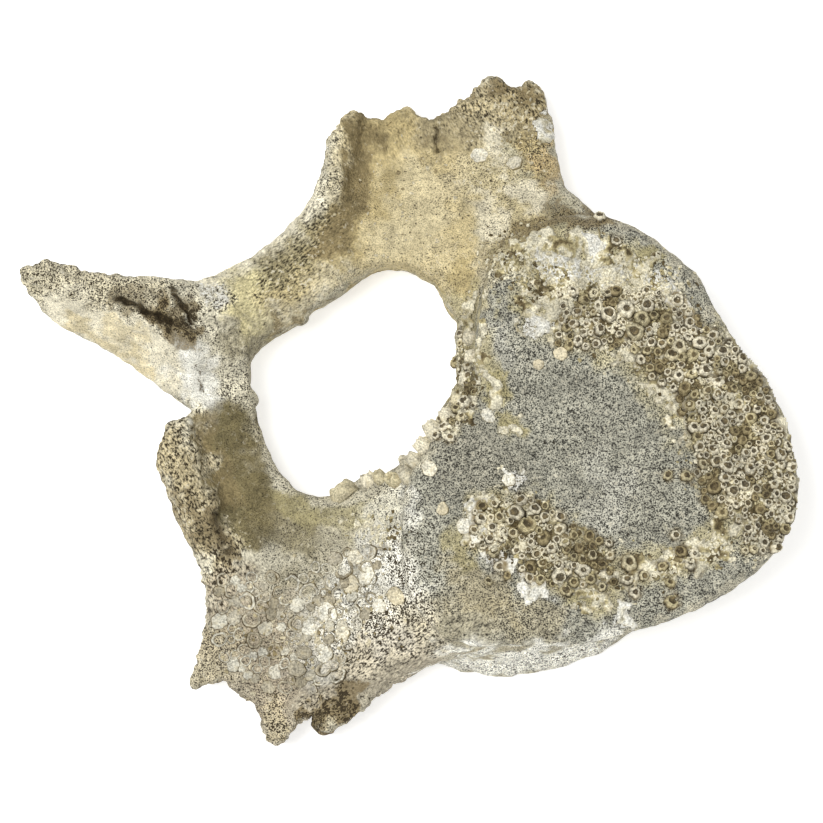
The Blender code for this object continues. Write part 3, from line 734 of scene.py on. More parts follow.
# Barnacles on the wall of the canal, seen from their side: across, up, height, radius, tallness
SIDE_BARNACLES = [
    (-95, 10, 82, 4.4, 1.5), (-100, 1, 82, 5.6, 1.4), (-106, -6, 80, 5.0, 1.3),
    (-112, -12, 78, 4.4, 1.4), (-117, -18, 74, 4.8, 1.3), (-122, -23, 68, 4.4, 1.3),
    (-128, -27, 60, 4.0, 1.3), (-134, -30, 54, 4.8, 1.2), (-149, -32, 48, 8.4, 0.75),
    (-139, -31, 50, 3.4, 1.2), (-91, 19, 82, 3.8, 1.3), (-88, 29, 82, 4.2, 1.3),
    (-89, 40, 76, 3.8, 1.3), (-86, 50, 68, 4.0, 1.2), (-103, -2, 74, 3.8, 1.2),
    (-115, -16, 66, 3.8, 1.2),
]
SIDE_CHIPPING = 0.35
SIDE_TILT = 0.3
SIDE_PIT_DARKNESS = 0.35
SIDE_SHADE = 0.5
CANAL_MIDDLE = (-145, 27)

# Shades of shells and crumbs, from 0 for pale to 1 for dull: the middle, how much it changes
# over the bone, and from one to the next, how much it is bleached, and the sizes of the clouds
SHADE_MIDDLE = 0.36
SHADE_CHANGE = 1.5
SHADE_SPREAD = 0.22
BLEACHING = 0.7
SHADE_CLOUDS = (13.0, 5.0)

# Where the shells and crumbs are bleached nearly white: across, up, how far
BLEACHED = [
    (-72, -50, 13.0), (-22, 92, 16.0), (8, 86, 11.0), (-46, 60, 9.0), (76, -74, 10.0),
    (-116, -14, 9.0),
]

# Sheets of crust and chalk that lie on the bone, right of a line: the step and margin of
# their grid, and for each its thickness, how brown it is among the shells, how dark its holes
# are, how much wider it is than its stains, and how closed
LAYER_STEP = 0.9
LAYER_MARGIN = 16.0
LAYER_START = -90
CRUST_SHEET = (1.2, 1.0, 0.6, 1.15, 1.0)
CHALK_SHEET = (1.7, 0.2, 0.4, 1.2, 1.15)


def ground(pieces):
    """Everything that a piece may sit on, for rays to meet."""
    corners, faces = [], []
    for piece in pieces:
        points, _ = corners_of(piece.data)
        first = len(corners)
        corners.extend((points * MM).tolist())
        faces.extend([first + corner for corner in face.vertices] for face in piece.data.polygons)
    return BVHTree.FromPolygons(corners, faces)


def footing(tree, across, up):
    """Point and normal of the bone where this place is seen."""
    sight = seen(across, up, 0.0) - EYE * MM
    foot, normal, _, _ = tree.ray_cast(EYE * MM, sight)
    return foot, normal


def scatter(chance, placed, colonies, radii, crowding):
    """Adds places and radii in colonies, so that they hardly overlap."""
    for path, half_width, count in colonies:
        wanted = len(placed) + count
        circles = np.zeros((wanted, 3))
        circles[:len(placed)] = placed or circles[:0]
        for _ in range(TRIES):
            middle = spline(path, chance.random())
            across = middle.x + chance.uniform(-half_width, half_width)
            up = middle.y + chance.uniform(-half_width, half_width)
            radius = chance.uniform(*radii)
            known = circles[:len(placed)]
            gaps = np.hypot(known[:, 0] - across, known[:, 1] - up)
            if len(placed) == 0 or np.min(gaps - (known[:, 2] + radius) * crowding) > 0.0:
                circles[len(placed)] = across, up, radius
                placed.append((across, up, radius))
            if len(placed) == wanted:
                break
    return placed


def faces_of(skin):
    """Corner numbers of each face of a bmesh, which is freed."""
    skin.verts.index_update()
    faces = [tuple(vertex.index for vertex in face.verts) for face in skin.faces]
    skin.free()
    return faces


def ring_faces(rings, sides):
    """Faces of a closed skin over rings, the first ring at the root."""
    skin = bmesh.new()
    circle = [Vector((math.cos(angle), math.sin(angle), 0)) for angle in angles(sides)]
    loft(skin, [
        [point * (1.0 - 0.5 * number / rings) + Vector((0, 0, number / rings)) for point in circle]
        for number in range(rings)
    ])
    bmesh.ops.recalc_face_normals(skin, faces=skin.faces)
    return faces_of(skin)


def copies(name, faces, points, marks, is_smooth=True):
    """One object of many copies of the same faces, with marks at every corner."""
    count = len(points[0])
    everything = [
        tuple(corner + number * count for corner in face)
        for number in range(len(points)) for face in faces
    ]
    mesh = bpy.data.meshes.new(name)
    mesh.from_pydata(np.concatenate(points) * MM, [], everything)
    for mark_name, values in marks.items():
        keep(mesh, mark_name, np.concatenate(values))
    if is_smooth:
        mesh.shade_smooth()
    return in_scene(name, mesh)


def shell_rings(chance, profile, radius, height, chipped):
    """Corners of one barnacle about its own axis, and how far each lies in the pit."""
    openness, filling = chance.uniform(*SHELL_OPENNESS), chance.uniform(*SHELL_FILLING)
    spokes = np.arange(SHELL_SIDES) * 2.0 * math.pi / SHELL_SIDES
    wall = np.ones(SHELL_SIDES)
    for lobes, depth in WALL_LOBES:
        wall += chance.uniform(0.2, 1.0) * depth * np.cos(lobes * spokes + chance.uniform(0.0, 6.3))
    seam = (np.arange(SHELL_SIDES) % (SHELL_SIDES // SHELL_PLATES) == 0) * 1.0
    wall += np.array([chance.uniform(*WALL_UNEVENNESS) for _ in spokes]) - 0.06 * seam
    chips = np.array([chance.uniform(*RIM_CHIPS) for _ in spokes]) - 0.16 * seam
    if chance.random() < BROKEN_SHARE:
        gone = chance.uniform(0.0, 2.0 * math.pi)
        chips -= 0.55 * np.clip(np.cos(spokes - gone) * 2.5 - 1.0, 0.0, 1.0)
    corners, pit = [], []
    for share, rise, inside in profile:
        if rise > 0.2 and inside > 0.05 and share < 0.7:
            share *= openness
        if inside > 0.6 and share < 0.7 and rise > 0.0:
            rise = max(rise, filling) if inside > 0.8 else filling + chance.uniform(-0.05, 0.3)
        reach = radius * share * wall
        level = height * (rise + np.clip(rise - 0.5, 0.0, 0.5) * chips * chipped * 2.0)
        corners.append(np.stack([reach * np.cos(spokes), reach * np.sin(spokes), level], axis=1))
        pit.append(np.clip(inside + 0.35 * seam * (share > 0.7), 0.0, 1.0))
    return np.concatenate(corners), np.concatenate(pit)


def shade_of(chance, foot):
    """Shade of a shell: like that of its neighbours, with some of its own."""
    broad, narrow = (noise.noise(Vector(foot) / (size * MM)) for size in SHADE_CLOUDS)
    page = places_on_page(np.array(foot)[None] / MM)[0]
    bleached = max(0.0, max(1.3 - math.dist(page, spot[:2]) / spot[2] for spot in BLEACHED))
    shade = SHADE_MIDDLE + SHADE_CHANGE * (broad + 0.6 * narrow) + chance.gauss(0.0, SHADE_SPREAD)
    return min(1.0, max(0.0, shade - BLEACHING * bleached))


def grow(name, tree, places, profile, chance, flat_height=None):
    """One object of many shells, each seated on the bone where its place is seen."""
    points, pits, shades = [], [], []
    for place in places:
        is_side = len(place) == 5
        across, up, radius = place[0], place[1], place[3 if is_side else 2]
        if is_side:
            start = seen(*CANAL_MIDDLE, place[2])
            foot, normal, _, _ = tree.ray_cast(start, seen(across, up, place[2]) - start)
        else:
            foot, normal = footing(tree, across, up)
        if foot is None:
            continue
        height = flat_height or radius * (place[4] if is_side else chance.uniform(*SHELL_TALLNESS))
        chipped = SIDE_CHIPPING if is_side else 1.0
        rings, pit = shell_rings(chance, profile, radius, height, chipped)
        axis = normal
        tilt = Vector((chance.gauss(0.0, 1.0), chance.gauss(0.0, 1.0), 0.0)) * SHELL_TILT
        if is_side:
            axis = normal + tilt * SIDE_TILT
        elif flat_height is None:
            axis = normal + Vector((0.0, 0.0, SHELL_UPRIGHTNESS)) + SHELL_LEAN + tilt
        turn = np.array(axis.to_track_quat("Z", "Y").to_matrix())
        points.append(rings @ turn.T + np.array(foot) / MM)
        pits.append(pit * (SIDE_PIT_DARKNESS if is_side else 1.0))
        shade = shade_of(chance, foot) * (SIDE_SHADE if is_side else 1.0)
        shades.append(np.full(len(rings), shade))
    faces = ring_faces(len(profile), SHELL_SIDES)
    return copies(name, faces, points, {"pit": pits, "shade": shades})


def crumbs(name, tree, fields, chance):
    """Small broken bits of shell, chalk or bone that cover a surface."""
    skin = bmesh.new()
    bmesh.ops.create_icosphere(skin, subdivisions=1, radius=1.0)
    ball = np.array([vertex.co[:] for vertex in skin.verts])
    faces = faces_of(skin)
    points, pits, shades = [], [], []
    for path, half_width, count in fields:
        for _ in range(count):
            middle = spline(path, chance.random())
            across = middle.x + chance.gauss(0.0, 0.5) * half_width
            foot, normal = footing(tree, across, middle.y + chance.gauss(0.0, 0.5) * half_width)
            if foot is None or normal.z < 0.2:
                continue
            radius = chance.uniform(*CRUMB_RADII)
            size = np.array([chance.uniform(*stretch) for stretch in CRUMB_STRETCHES]) * radius
            bumps = np.array([chance.uniform(*CRUMB_BUMPS) for _ in ball])
            tilt = Vector([chance.gauss(0.0, CRUMB_TILT) for _ in range(3)])
            turn = np.array((normal + tilt).to_track_quat("Z", "Y").to_matrix())
            points.append((ball * bumps[:, None] * size) @ turn.T + np.array(foot) / MM)
            # Darker towards the underside of each crumb, kept in the pit mark: painted shade
            pits.append(np.clip(-ball[:, 2], 0.0, 1.0) * 0.6)
            shades.append(np.full(len(ball), shade_of(chance, foot)))
    return copies(name, faces, points, {"pit": pits, "shade": shades}, is_smooth=False)


def nearness(places, shells):
    """From 0 away from the shells to 1 at their feet."""
    near = np.zeros(len(places))
    for across, up, radius in shells:
        gap = np.hypot(places[:, 0] - across, places[:, 1] - up) / radius
        near = np.maximum(near, np.clip((1.75 - gap) / 0.7, 0.0, 1.0))
    return near


def sheet_rows(colour, spread, strength):
    """Rows of places that a sheet covers: where the bone is stained with its colour."""
    return [
        (path, half_width * spread, strength) for tint, _, path, half_width, _ in STAINS
        if tint is colour and path[0][0] > LAYER_START
    ]


def layer(name, tree, colour, shells, thickness, browning, holes, spread, strength):
    """Ragged sheet that lies on the bone where it is stained, on a fine grid."""
    rows = sheet_rows(colour, spread, strength)
    reach = np.array([place for path, _, _ in rows for place in path])
    low = reach.min(axis=0) - LAYER_MARGIN
    steps = np.ceil((reach.max(axis=0) + LAYER_MARGIN - low) / LAYER_STEP).astype(int)
    skin = bmesh.new()
    bmesh.ops.create_grid(skin, x_segments=int(steps[0]), y_segments=int(steps[1]), size=1.0)
    places = np.array([vertex.co[:2] for vertex in skin.verts])
    places = low + (places + 1.0) / 2.0 * steps * LAYER_STEP
    spots = np.concatenate([places, np.zeros((len(places), 1))], axis=1)
    ragged = wandered(spots, places, 9.0, 9.0)
    cover = np.max([band(ragged, path, width) * strong for path, width, strong in rows], axis=0)
    lumps = noise_at(spots, 5.0, 2.0) * 0.9 + noise_at(spots, 2.2, 4.0) * 0.6
    lift = np.clip((cover * 1.1 + lumps - 0.44) * 2.0, -0.5, 1.0) * thickness
    lift += noise_at(spots, 1.9, 8.0) * 0.5
    lift = np.where(cover > 0.0, lift, -1.0)
    core = widest(ragged, [(path, width) for path, width, _ in SMALL_COLONIES], 1) * browning
    tones = noise_at(spots, 12.0, 6.0) * 1.1 + noise_at(spots, 3.0, 1.0) * 0.8 + 0.28 + 0.68 * core
    # Painted shade on the sheet at the foot of the shells, kept in its pit mark
    shade_near_shells = nearness(places, shells) * (0.8 + 0.9 * noise_at(spots, 6.0, 3.0))
    pit = skin.verts.layers.float.new("pit")
    shade = skin.verts.layers.float.new("shade")
    bare = []
    numbers = np.column_stack([places, lift, tones, shade_near_shells]).tolist()
    for vertex, (across, up, rise, tone, shaded_near_shells) in zip(skin.verts, numbers):
        foot, normal = footing(tree, across, up) if rise > -0.6 else (None, None)
        if foot is None or normal.z < 0.35:
            bare.append(vertex)
            continue
        vertex.co = foot + normal * rise * MM
        vertex[pit] = min(1.0, max(0.0, shaded_near_shells, holes - rise / thickness * 0.85))
        vertex[shade] = min(1.0, max(0.0, tone))
    bmesh.ops.delete(skin, geom=bare, context="VERTS")
    sunken = [face for face in skin.faces if face.calc_area() > (2.4 * LAYER_STEP * MM) ** 2]
    bmesh.ops.delete(skin, geom=sunken, context="FACES")
    bmesh.ops.recalc_face_normals(skin, faces=skin.faces)
    made = new_object(name, skin)
    made.data.shade_smooth()
    return made


STUDIO_LIGHT = 1.12


def paint(red, green, blue):
    """Colour that looks so on a screen, for the light of the studio."""
    lights = []
    for share in (red / 255.0, green / 255.0, blue / 255.0):
        lights.append(share / 12.92 if share < 0.04045 else ((share + 0.055) / 1.055) ** 2.4)
    return [light / STUDIO_LIGHT for light in lights] + [1.0]


PALE = paint(194, 188, 166)
GREY = paint(157, 155, 140)
GOLD = paint(216, 198, 148)
YELLOW = paint(222, 211, 162)
OLIVE = paint(126, 116, 82)
CREAM = paint(242, 234, 208)
WHITE = paint(240, 238, 226)
CHALK = paint(244, 243, 234)
TAN = paint(172, 159, 124)
BROWN = paint(136, 119, 82)
DARK = paint(66, 56, 38)
SOOT = paint(92, 78, 52)
CREVICE_SHADE = paint(46, 38, 26)
MOSS = paint(172, 162, 118)
UMBER = paint(144, 129, 92)
HONEY = paint(198, 180, 130)
CRUST = paint(190, 180, 140)
ORANGE = paint(206, 180, 132)
ROSE = paint(164, 152, 130)
STRAW = paint(228, 214, 172)

# Stains: colour, strength, row of places, half width, how clear of pores it is
STAINS = [
    (TAN, 0.35, [(-319, 86), (-297, 81), (-275, 78), (-254, 74)], 11.9, 0.0),
    (BROWN, 0.45, [(-272, 76), (-254, 69), (-240, 60), (-237, 50)], 7.5, 0.0),
    (BROWN, 0.45, [(-239, 77), (-231, 62)], 5.0, 0.0),
    (UMBER, 0.8, [(-250, 62), (-240, 56), (-236, 48)], 7.5, 0.0),
    (BROWN, 0.7, [(-250, 62), (-240, 56), (-236, 48)], 7.5, 0.0),
    (BROWN, 0.9, [(-236, 68), (-229, 57)], 5.5, 0.0),
    (CREAM, 1.0, [(-301, 63), (-284, 56), (-265, 48), (-246, 34)], 15.0, 0.9),
    (GOLD, 0.6, [(-298, 58), (-280, 50), (-262, 40), (-250, 32)], 5.0, 0.75),
    (GOLD, 0.5, [(-276, 60), (-262, 53)], 5.0, 0.75),
    (WHITE, 0.95, [(-232, 39), (-228, 30), (-222, 18)], 10.0, 0.85),
    (CHALK, 0.6, [(-224, 86), (-219, 73)], 7.6, 0.0),
    (CREAM, 0.85, [(-224, 84), (-202, 96), (-181, 112), (-167, 130)], 5.4, 0.2),
    (OLIVE, 0.9, [(-189, 83), (-167, 99), (-148, 112)], 15.0, 0.0),
    (GOLD, 0.4, [(-190, 70), (-168, 80), (-150, 90)], 8.0, 0.2),
    (OLIVE, 0.5, [(-208, 49), (-193, 62)], 10.8, 0.3),
    (YELLOW, 0.85, [(-202, 81), (-205, 66)], 6.5, 0.6),
    (TAN, 0.08, [(-148, 165), (-154, 140), (-166, 113)], 7.0, 0.0),
    (GOLD, 0.75, [(-122, 165), (-116, 140), (-122, 112), (-100, 100)], 34.0, 0.6),
    (TAN, 0.5, [(-124, 170), (-108, 164), (-112, 156)], 9.0, 0.0),
    (TAN, 0.35, [(-104, 132), (-92, 118)], 6.0, 0.0),
    (TAN, 0.35, [(-128, 128), (-132, 112)], 6.0, 0.0),
    (MOSS, 0.45, [(-52, 150), (-62, 128), (-46, 118)], 22.0, 0.3),
    (TAN, 0.5, [(-130, 170), (-112, 166), (-96, 160)], 8.0, 0.0),
    (HONEY, 0.8, [(-128, 168), (-126, 143), (-134, 119), (-146, 102)], 13.0, 0.6),
    # This umber band in the valley beside the raised edge of the right process is painted shadow of
    # that edge
    (UMBER, 1.0, [(-139, 166), (-139, 143), (-145, 121), (-156, 104)], 8.5, 0.5),
    (STRAW, 0.8, [(-112, 138), (-108, 119), (-124, 104)], 14.0, 0.7),
    (HONEY, 0.6, [(-112, 168), (-100, 150), (-92, 158)], 9.0, 0.4),
    (TAN, 0.95, [(-92, 168), (-72, 178), (-49, 176)], 17.0, 0.0),
    (HONEY, 0.7, [(-44, 160), (-42, 140)], 8.0, 0.0),
    (BROWN, 0.4, [(-100, 166), (-99, 154)], 2.6, 0.0),
    (BROWN, 0.55, [(-70, 190), (-54, 185), (-40, 181)], 4.3, 0.0),
    (UMBER, 0.6, [(-60, 186), (-45, 176), (-42, 152)], 9.0, 0.0),
    (GOLD, 0.5, [(-76, 148), (-65, 132), (-54, 119)], 14.0, 0.3),
    (ORANGE, 0.5, [(-40, 148), (-37, 135)], 6.5, 0.2),
    (CREAM, 0.7, [(-66, 163), (-64, 148)], 5.0, 0.3),
    (CREAM, 0.6, [(-74, 126), (-66, 112)], 6.0, 0.1),
    (CREAM, 0.7, [(-58, 134), (-44, 127)], 6.0, 0.3),
    (GOLD, 0.6, [(-85, 124), (-83, 105), (-87, 86)], 8.0, 0.5),
    (HONEY, 0.8, [(-84, 92), (-86, 78)], 6.0, 0.5),
    (BROWN, 0.55, [(-38, 124), (-16, 119)], 4.9, 0.0),
    (OLIVE, 1.0, [(-213, 3), (-207, -18), (-198, -34)], 15.0, 0.8),
    (OLIVE, 0.7, [(-202, -32), (-190, -44), (-172, -50)], 14.0, 0.7),
    (OLIVE, 0.3, [(-173, -59), (-157, -59)], 9.7, 0.4),
    (TAN, 0.7, [(-208, -56), (-213, -78)], 8.0, 0.0),
    (OLIVE, 0.9, [(-214, -18), (-208, -42), (-198, -56)], 7.0, 0.6),
    (MOSS, 0.7, [(-181, -38), (-162, -44), (-140, -44), (-124, -38)], 8.0, 0.6),
    (TAN, 0.6, [(-243, -8), (-232, -30), (-227, -51)], 11.9, 0.0),
    (UMBER, 0.5, [(-242, -6), (-234, -30), (-227, -52)], 14.0, 0.0),
    (BROWN, 0.5, [(-239, -35), (-227, -49), (-215, -57)], 4.9, 0.0),
    (BROWN, 0.6, [(-219, -43), (-215, -59), (-206, -70)], 6.0, 0.0),
    (UMBER, 0.7, [(-226, 5), (-218, -14), (-210, -34)], 4.5, 0.2),
    (ROSE, 0.8, [(-208, -89), (-192, -111), (-189, -138)], 16.2, 0.0),
    (ROSE, 0.5, [(-176, -96), (-170, -130)], 14.0, 0.0),
    (OLIVE, 0.4, [(-181, -76), (-165, -81)], 6.5, 0.4),
    (WHITE, 0.45, [(-141, -69), (-146, -84), (-159, -97), (-167, -111)], 12.0, 0.2),
    (WHITE, 0.5, [(-132, -46), (-116, -35), (-127, -59)], 9.0, 0.1),
    (WHITE, 0.9, [(-121, -86)], 6.5, 0.5),
    (WHITE, 0.4, [(-151, -111), (-157, -127)], 8.6, 0.1),
    (WHITE, 0.6, [(-125, -70), (-112, -92), (-126, -108)], 12.0, 0.0),
    (BROWN, 0.5, [(-131, -59)], 5.9, 0.5),
    (BROWN, 0.9, [(-166, -158), (-160, -152), (-152, -145), (-145, -140)], 9.0, 0.0),
    (ROSE, 0.6, [(-205, -118), (-188, -150), (-160, -132), (-120, -118)], 24.0, 0.0),
    (TAN, 0.4, [(-226, -128), (-214, -112)], 12.0, 0.0),
    (UMBER, 0.6, [(-166, -161), (-150, -148)], 9.0, 0.0),
    (TAN, 0.5, [(-186, -162), (-189, -143)], 6.5, 0.0),
    (WHITE, 0.9, [(-92, -120), (-65, -125), (-32, -119), (-5, -113)], 8.0, 0.1),
    (TAN, 0.45, [(-108, -94), (-81, -100), (-43, -101)], 10.8, 0.0),
    (TAN, 0.6, [(-90, -72), (-82, -84), (-62, -88)], 10.0, 0.1),
    (WHITE, 0.45, [(-134, -66), (-138, -86), (-158, -114), (-166, -124)], 12.0, 0.1),
    (SOOT, 0.17, [(-84, -4), (-74, -18), (-66, -34)], 20.0, 0.0),
    (SOOT, 0.12, [(-200, -8), (-194, -44)], 12.0, 0.0),
    (YELLOW, 0.45, [(-206, 82), (-198, 68)], 12.0, 0.1),
    (CRUST, 0.75, [(-60, 96), (-43, 101), (-22, 102), (-2, 97), (14, 88)], 9.0, 0.2),
    (UMBER, 0.4, [(-64, 104), (-48, 112), (-30, 116), (-8, 116)], 6.0, 0.0),
    (BROWN, 0.6, [(-64, 104), (-48, 112), (-30, 116), (-8, 116)], 5.0, 0.0),
    (UMBER, 0.5, [(-66, 92), (-56, 100), (-40, 106)], 6.0, 0.0),
    (CRUST, 0.8, [(-32, 73), (-5, 68), (22, 51), (43, 24), (65, -3), (76, -35)], 23.8, 0.3),
    (CRUST, 0.7, [(58, 50), (76, 26), (87, 2), (92, -24), (86, -48)], 9.0, 0.1),
    (BROWN, 0.6, [(-11, 73), (14, 63), (32, 42), (50, 27), (54, 5), (43, -19), (62, -19)], 8.6,
     0.2),
    (TAN, 0.5, [(68, 8), (81, -19), (78, -46)], 9.7, 0.0),
    (CHALK, 0.9, [(-40, 94), (-32, 87), (-26, 80)], 7.0, 0.5),
    (CHALK, 0.85, [(-14, 86), (-3, 84)], 6.5, 0.5),
    (CHALK, 0.8, [(-18, 104), (-12, 98)], 4.5, 0.4),
    (CHALK, 0.8, [(14, 84), (26, 78), (32, 70)], 5.9, 0.4),
    (CHALK, 0.8, [(32, 73), (38, 61)], 4.9, 0.4),
    (CHALK, 0.75, [(-50, 63), (-43, 57)], 6.5, 0.3),
    (MOSS, 0.8, [(9, 93), (16, 96)], 7.0, 0.4),
    (MOSS, 0.7, [(-20, 63), (-17, 54)], 4.9, 0.4),
    (MOSS, 0.7, [(-60, 69), (-54, 66)], 5.4, 0.3),
    (CRUST, 0.75, [(-82, 73), (-80, 51), (-84, 30), (-87, 14)], 8.6, 0.3),
    (CRUST, 0.6, [(-73, 34), (-67, 22)], 6.0, 0.1),
    (CRUST, 0.6, [(-58, 5), (-55, 3)], 5.0, 0.1),
    (MOSS, 0.85, [(-71, 31), (-67, 23)], 6.0, 0.1),
    (MOSS, 0.75, [(-57, 4)], 5.4, 0.3),
    (WHITE, 0.15, [(-12, -18), (2, -26), (-8, -44)], 8.0, 0.1),
    (WHITE, 0.15, [(-70, 56), (-66, 40)], 6.0, 0.1),
    (UMBER, 0.8, [(-184, 60), (-172, 64)], 4.0, 0.0),
    (OLIVE, 0.5, [(16, 46), (19, 38)], 4.3, 0.3),
    (CRUST, 0.85, [(-70, -46), (-49, -51), (-27, -68), (-16, -81)], 16.2, 0.3),
    (BROWN, 0.65, [(-65, -50), (-43, -59), (-32, -68), (-16, -74)], 8.6, 0.2),
    (MOSS, 0.7, [(-89, -54), (-85, -68)], 5.9, 0.3),
    (MOSS, 0.7, [(-26, -89), (-16, -88)], 6.5, 0.3),
    (CHALK, 0.95, [(-80, -43), (-71, -48), (-67, -58)], 6.4, 0.4),
    (CHALK, 0.7, [(-70, -64), (-62, -70)], 4.4, 0.3),
    (CHALK, 0.5, [(-51, -78), (-44, -87)], 4.6, 0.3),
    (CHALK, 0.75, [(-60, -23)], 4.9, 0.3),
    (CHALK, 0.7, [(0, -100), (4, -96)], 4.9, 0.3),
    (CHALK, 0.9, [(-42, 168), (-39, 163)], 4.5, 0.5),
    (CRUST, 0.7, [(11, -73), (32, -68), (54, -57)], 9.7, 0.2),
]

# Pores: row of places, half width, how many
PITTED = [
    ([(-322, 88), (-298, 82), (-264, 78), (-234, 66)], 17.0, 1.0),
    ([(-240, 0), (-234, -26), (-222, -56)], 22.0, 1.0),
    ([(-215, -70), (-218, -120)], 18.0, 0.8), ([(-211, -36), (-206, -58), (-212, -80)], 9.0, 1.3),
    ([(-205, 22), (-196, 0)], 12.0, 0.8), ([(-150, -105), (-120, -100), (-110, -70)], 24.0, 0.8),
    ([(-158, 122), (-150, 170)], 12.0, 0.8), ([(-80, 180), (-45, 180)], 20.0, 0.7),
    ([(-117, -16), (-126, -36), (-113, -54), (-124, -72), (-115, -92)], 14.0, 0.9),
    ([(-140, -115), (-110, -105)], 18.0, 1.0), ([(-168, -160), (-152, -146)], 12.0, 1.4),
    ([(-190, -140), (-186, -165)], 12.0, 0.9), ([(-215, 75), (-222, 60)], 9.0, 1.0),
    ([(-256, 64), (-240, 54), (-232, 62)], 9.0, 1.7),
    ([(-64, 104), (-48, 112), (-30, 116), (-8, 116)], 6.0, 0.9),
    ([(-190, 82), (-165, 100), (-148, 112)], 15.0, 0.8),
    ([(-60, 186), (-45, 176), (-42, 152)], 10.0, 0.9),
    ([(-120, -72), (-110, -92), (-132, -104)], 13.0, 1.3),
    ([(-92, -121), (-40, -123), (0, -114)], 6.0, 0.7), ([(-165, 110), (-160, 130)], 14.0, 0.9),
]

# Where the grain of the bone rises to the right over the page, and where it falls steeply
RISING_GRAIN = [
    ([(-205, 75), (-180, 85), (-160, 110)], 26.0),
    ([(-160, -140), (-120, -115), (-80, -108)], 16.0),
]
FALLING_GRAIN = [
    ([(-240, -5), (-230, -45), (-215, -80)], 24.0), ([(-140, 165), (-60, 180)], 26.0),
]

# Looks of shells and bits: pale, warm and dull walls, and the floor of their pits, also used as
# painted shade
SHELL_LOOKS = {
    "barnacle shell": (paint(234, 226, 200), paint(210, 198, 156), paint(160, 146, 108), DARK),
    "crust": (paint(234, 227, 200), paint(190, 178, 134), paint(96, 83, 54), DARK),
    "chalk": (paint(232, 230, 218), paint(218, 213, 192), paint(188, 179, 148), BROWN),
    "barnacle scars": (paint(214, 210, 192), paint(196, 189, 168), paint(176, 167, 143), SOOT),
    "barnacle bases": (paint(246, 242, 224), paint(238, 230, 204), paint(226, 215, 184), TAN),
    "bone bits": (paint(216, 206, 176), paint(186, 174, 138), paint(140, 126, 92), DARK),
}

# Studio: the floor's reach and own light, the light from all round, the lamp and the lens
FLOOR_REACH = 4.0
FLOOR_GREY, FLOOR_ROUGHNESS, FLOOR_LIGHT = 0.9, 0.9, 0.45
SKY_LIGHT = 0.62
LAMP_POWER, LAMP_WIDTH = 25.0, 0.6
LAMP_PLACE = (-0.55, -0.15, 1.85)
LENS_LENGTH, SENSOR_WIDTH = 150.0, 36.0


def stain(made):
    """Colours and pores of the bone's regions, kept at its corners."""
    points, normals = corners_of(made.data)
    steep = 1.0 - np.clip(normals[:, 2] * 2.0 + 0.2, 0.0, 1.0)
    ragged = wandered(points, places_on_page(points), 11.0, 9.5, steep)
    ragged = wandered(points, ragged, 4.0, 5.0, steep)
    colour = np.tile(np.array(PALE), (len(points), 1))
    grey = within(ragged, FACE_OUTLINE, 5.0) * np.clip((points[:, 2] - 60.0) / 10.0, 0.0, 1.0)
    pores = 0.38 - 0.16 * grey
    chalk = np.zeros(len(points))
    brown = np.zeros(len(points))
    colour += (np.array(GREY) - colour) * grey[:, None]
    for path, half_width, strength in PITTED:
        pores = np.maximum(pores, band(ragged, path, half_width, 4) * strength)
    for tint, strength, path, half_width, clear in STAINS:
        wider, stronger = (1.0, 1.8) if tint in (CHALK, BROWN) else (1.25, 1.25)
        share = band(ragged, path, half_width * wider, 2) * stronger
        share = np.clip(share, 0.0, 1.0) * strength
        pores *= 1.0 - share * clear
        if tint is CHALK:
            chalk = np.maximum(chalk, share)
        elif tint is BROWN:
            brown = np.maximum(brown, share)
        else:
            colour += (np.array(tint) - colour) * share[:, None]
            chalk *= 1.0 - share * 0.6
            grey *= 1.0 - share * 0.7
    stains = made.data.attributes.new("stain", "FLOAT_COLOR", "POINT")
    stains.data.foreach_set("color", colour.ravel())
    marks = {
        "pepper": grey, "pores": pores, "chalk": chalk, "brown": brown,
        "rising": widest(ragged, RISING_GRAIN, 4), "falling": widest(ragged, FALLING_GRAIN, 4),
    }
    for name, values in marks.items():
        keep(made.data, name, values)


def shell_foot_shade(made, shells):
    """Painted shade that darkens the bone at the foot of each barnacle."""
    points, normals = corners_of(made.data)
    dark = nearness(places_on_page(points), shells) * np.clip(normals[:, 2] * 3.0 - 0.5, 0.0, 1.0)
    keep(made.data, "shell_foot_shade", dark)


def feed(tree, node, inputs):
    """Gives a shader node its inputs, as values or links."""
    for key, value in inputs:
        if isinstance(value, bpy.types.NodeSocket):
            tree.links.new(value, node.inputs[key])
        else:
            node.inputs[key].default_value = value


def add(tree, kind, inputs=(), **settings):
    """New shader node with its settings and inputs."""
    made = tree.nodes.new(kind)
    for name, value in settings.items():
        setattr(made, name, value)
    feed(tree, made, inputs)
    return made


def new_material(name):
    """Material of nodes, and its tree."""
    material = bpy.data.materials.new(name)
    material.use_nodes = True
    return material, material.node_tree


def object_place(tree):
    """Coordinates of the object."""
    return add(tree, "ShaderNodeTexCoord").outputs["Object"]


def mark(tree, name, output="Fac"):
    """Value that a mesh keeps at its corners."""
    return add(tree, "ShaderNodeAttribute", attribute_name=name).outputs[output]


def grain(tree, place, size, detail=3.0, roughness=0.6):
    """Noise of a size in millimetres."""
    inputs = [("Vector", place), ("Scale", 1.0 / (size * MM)), ("Detail", detail)]
    return add(tree, "ShaderNodeTexNoise", inputs + [("Roughness", roughness)]).outputs["Fac"]


def ramp(tree, value, *limits):
    """Value stretched from one range, low to high, to another, or else to 0 to 1."""
    return add(tree, "ShaderNodeMapRange", enumerate((value, *limits))).outputs[0]


def maths(tree, operation, *values):
    """Arithmetic of values."""
    return add(tree, "ShaderNodeMath", enumerate(values), operation=operation).outputs[0]


def times(tree, first, second, more=0.0):
    """Product of two values, with one more added to it."""
    return maths(tree, "MULTIPLY_ADD", first, second, more)


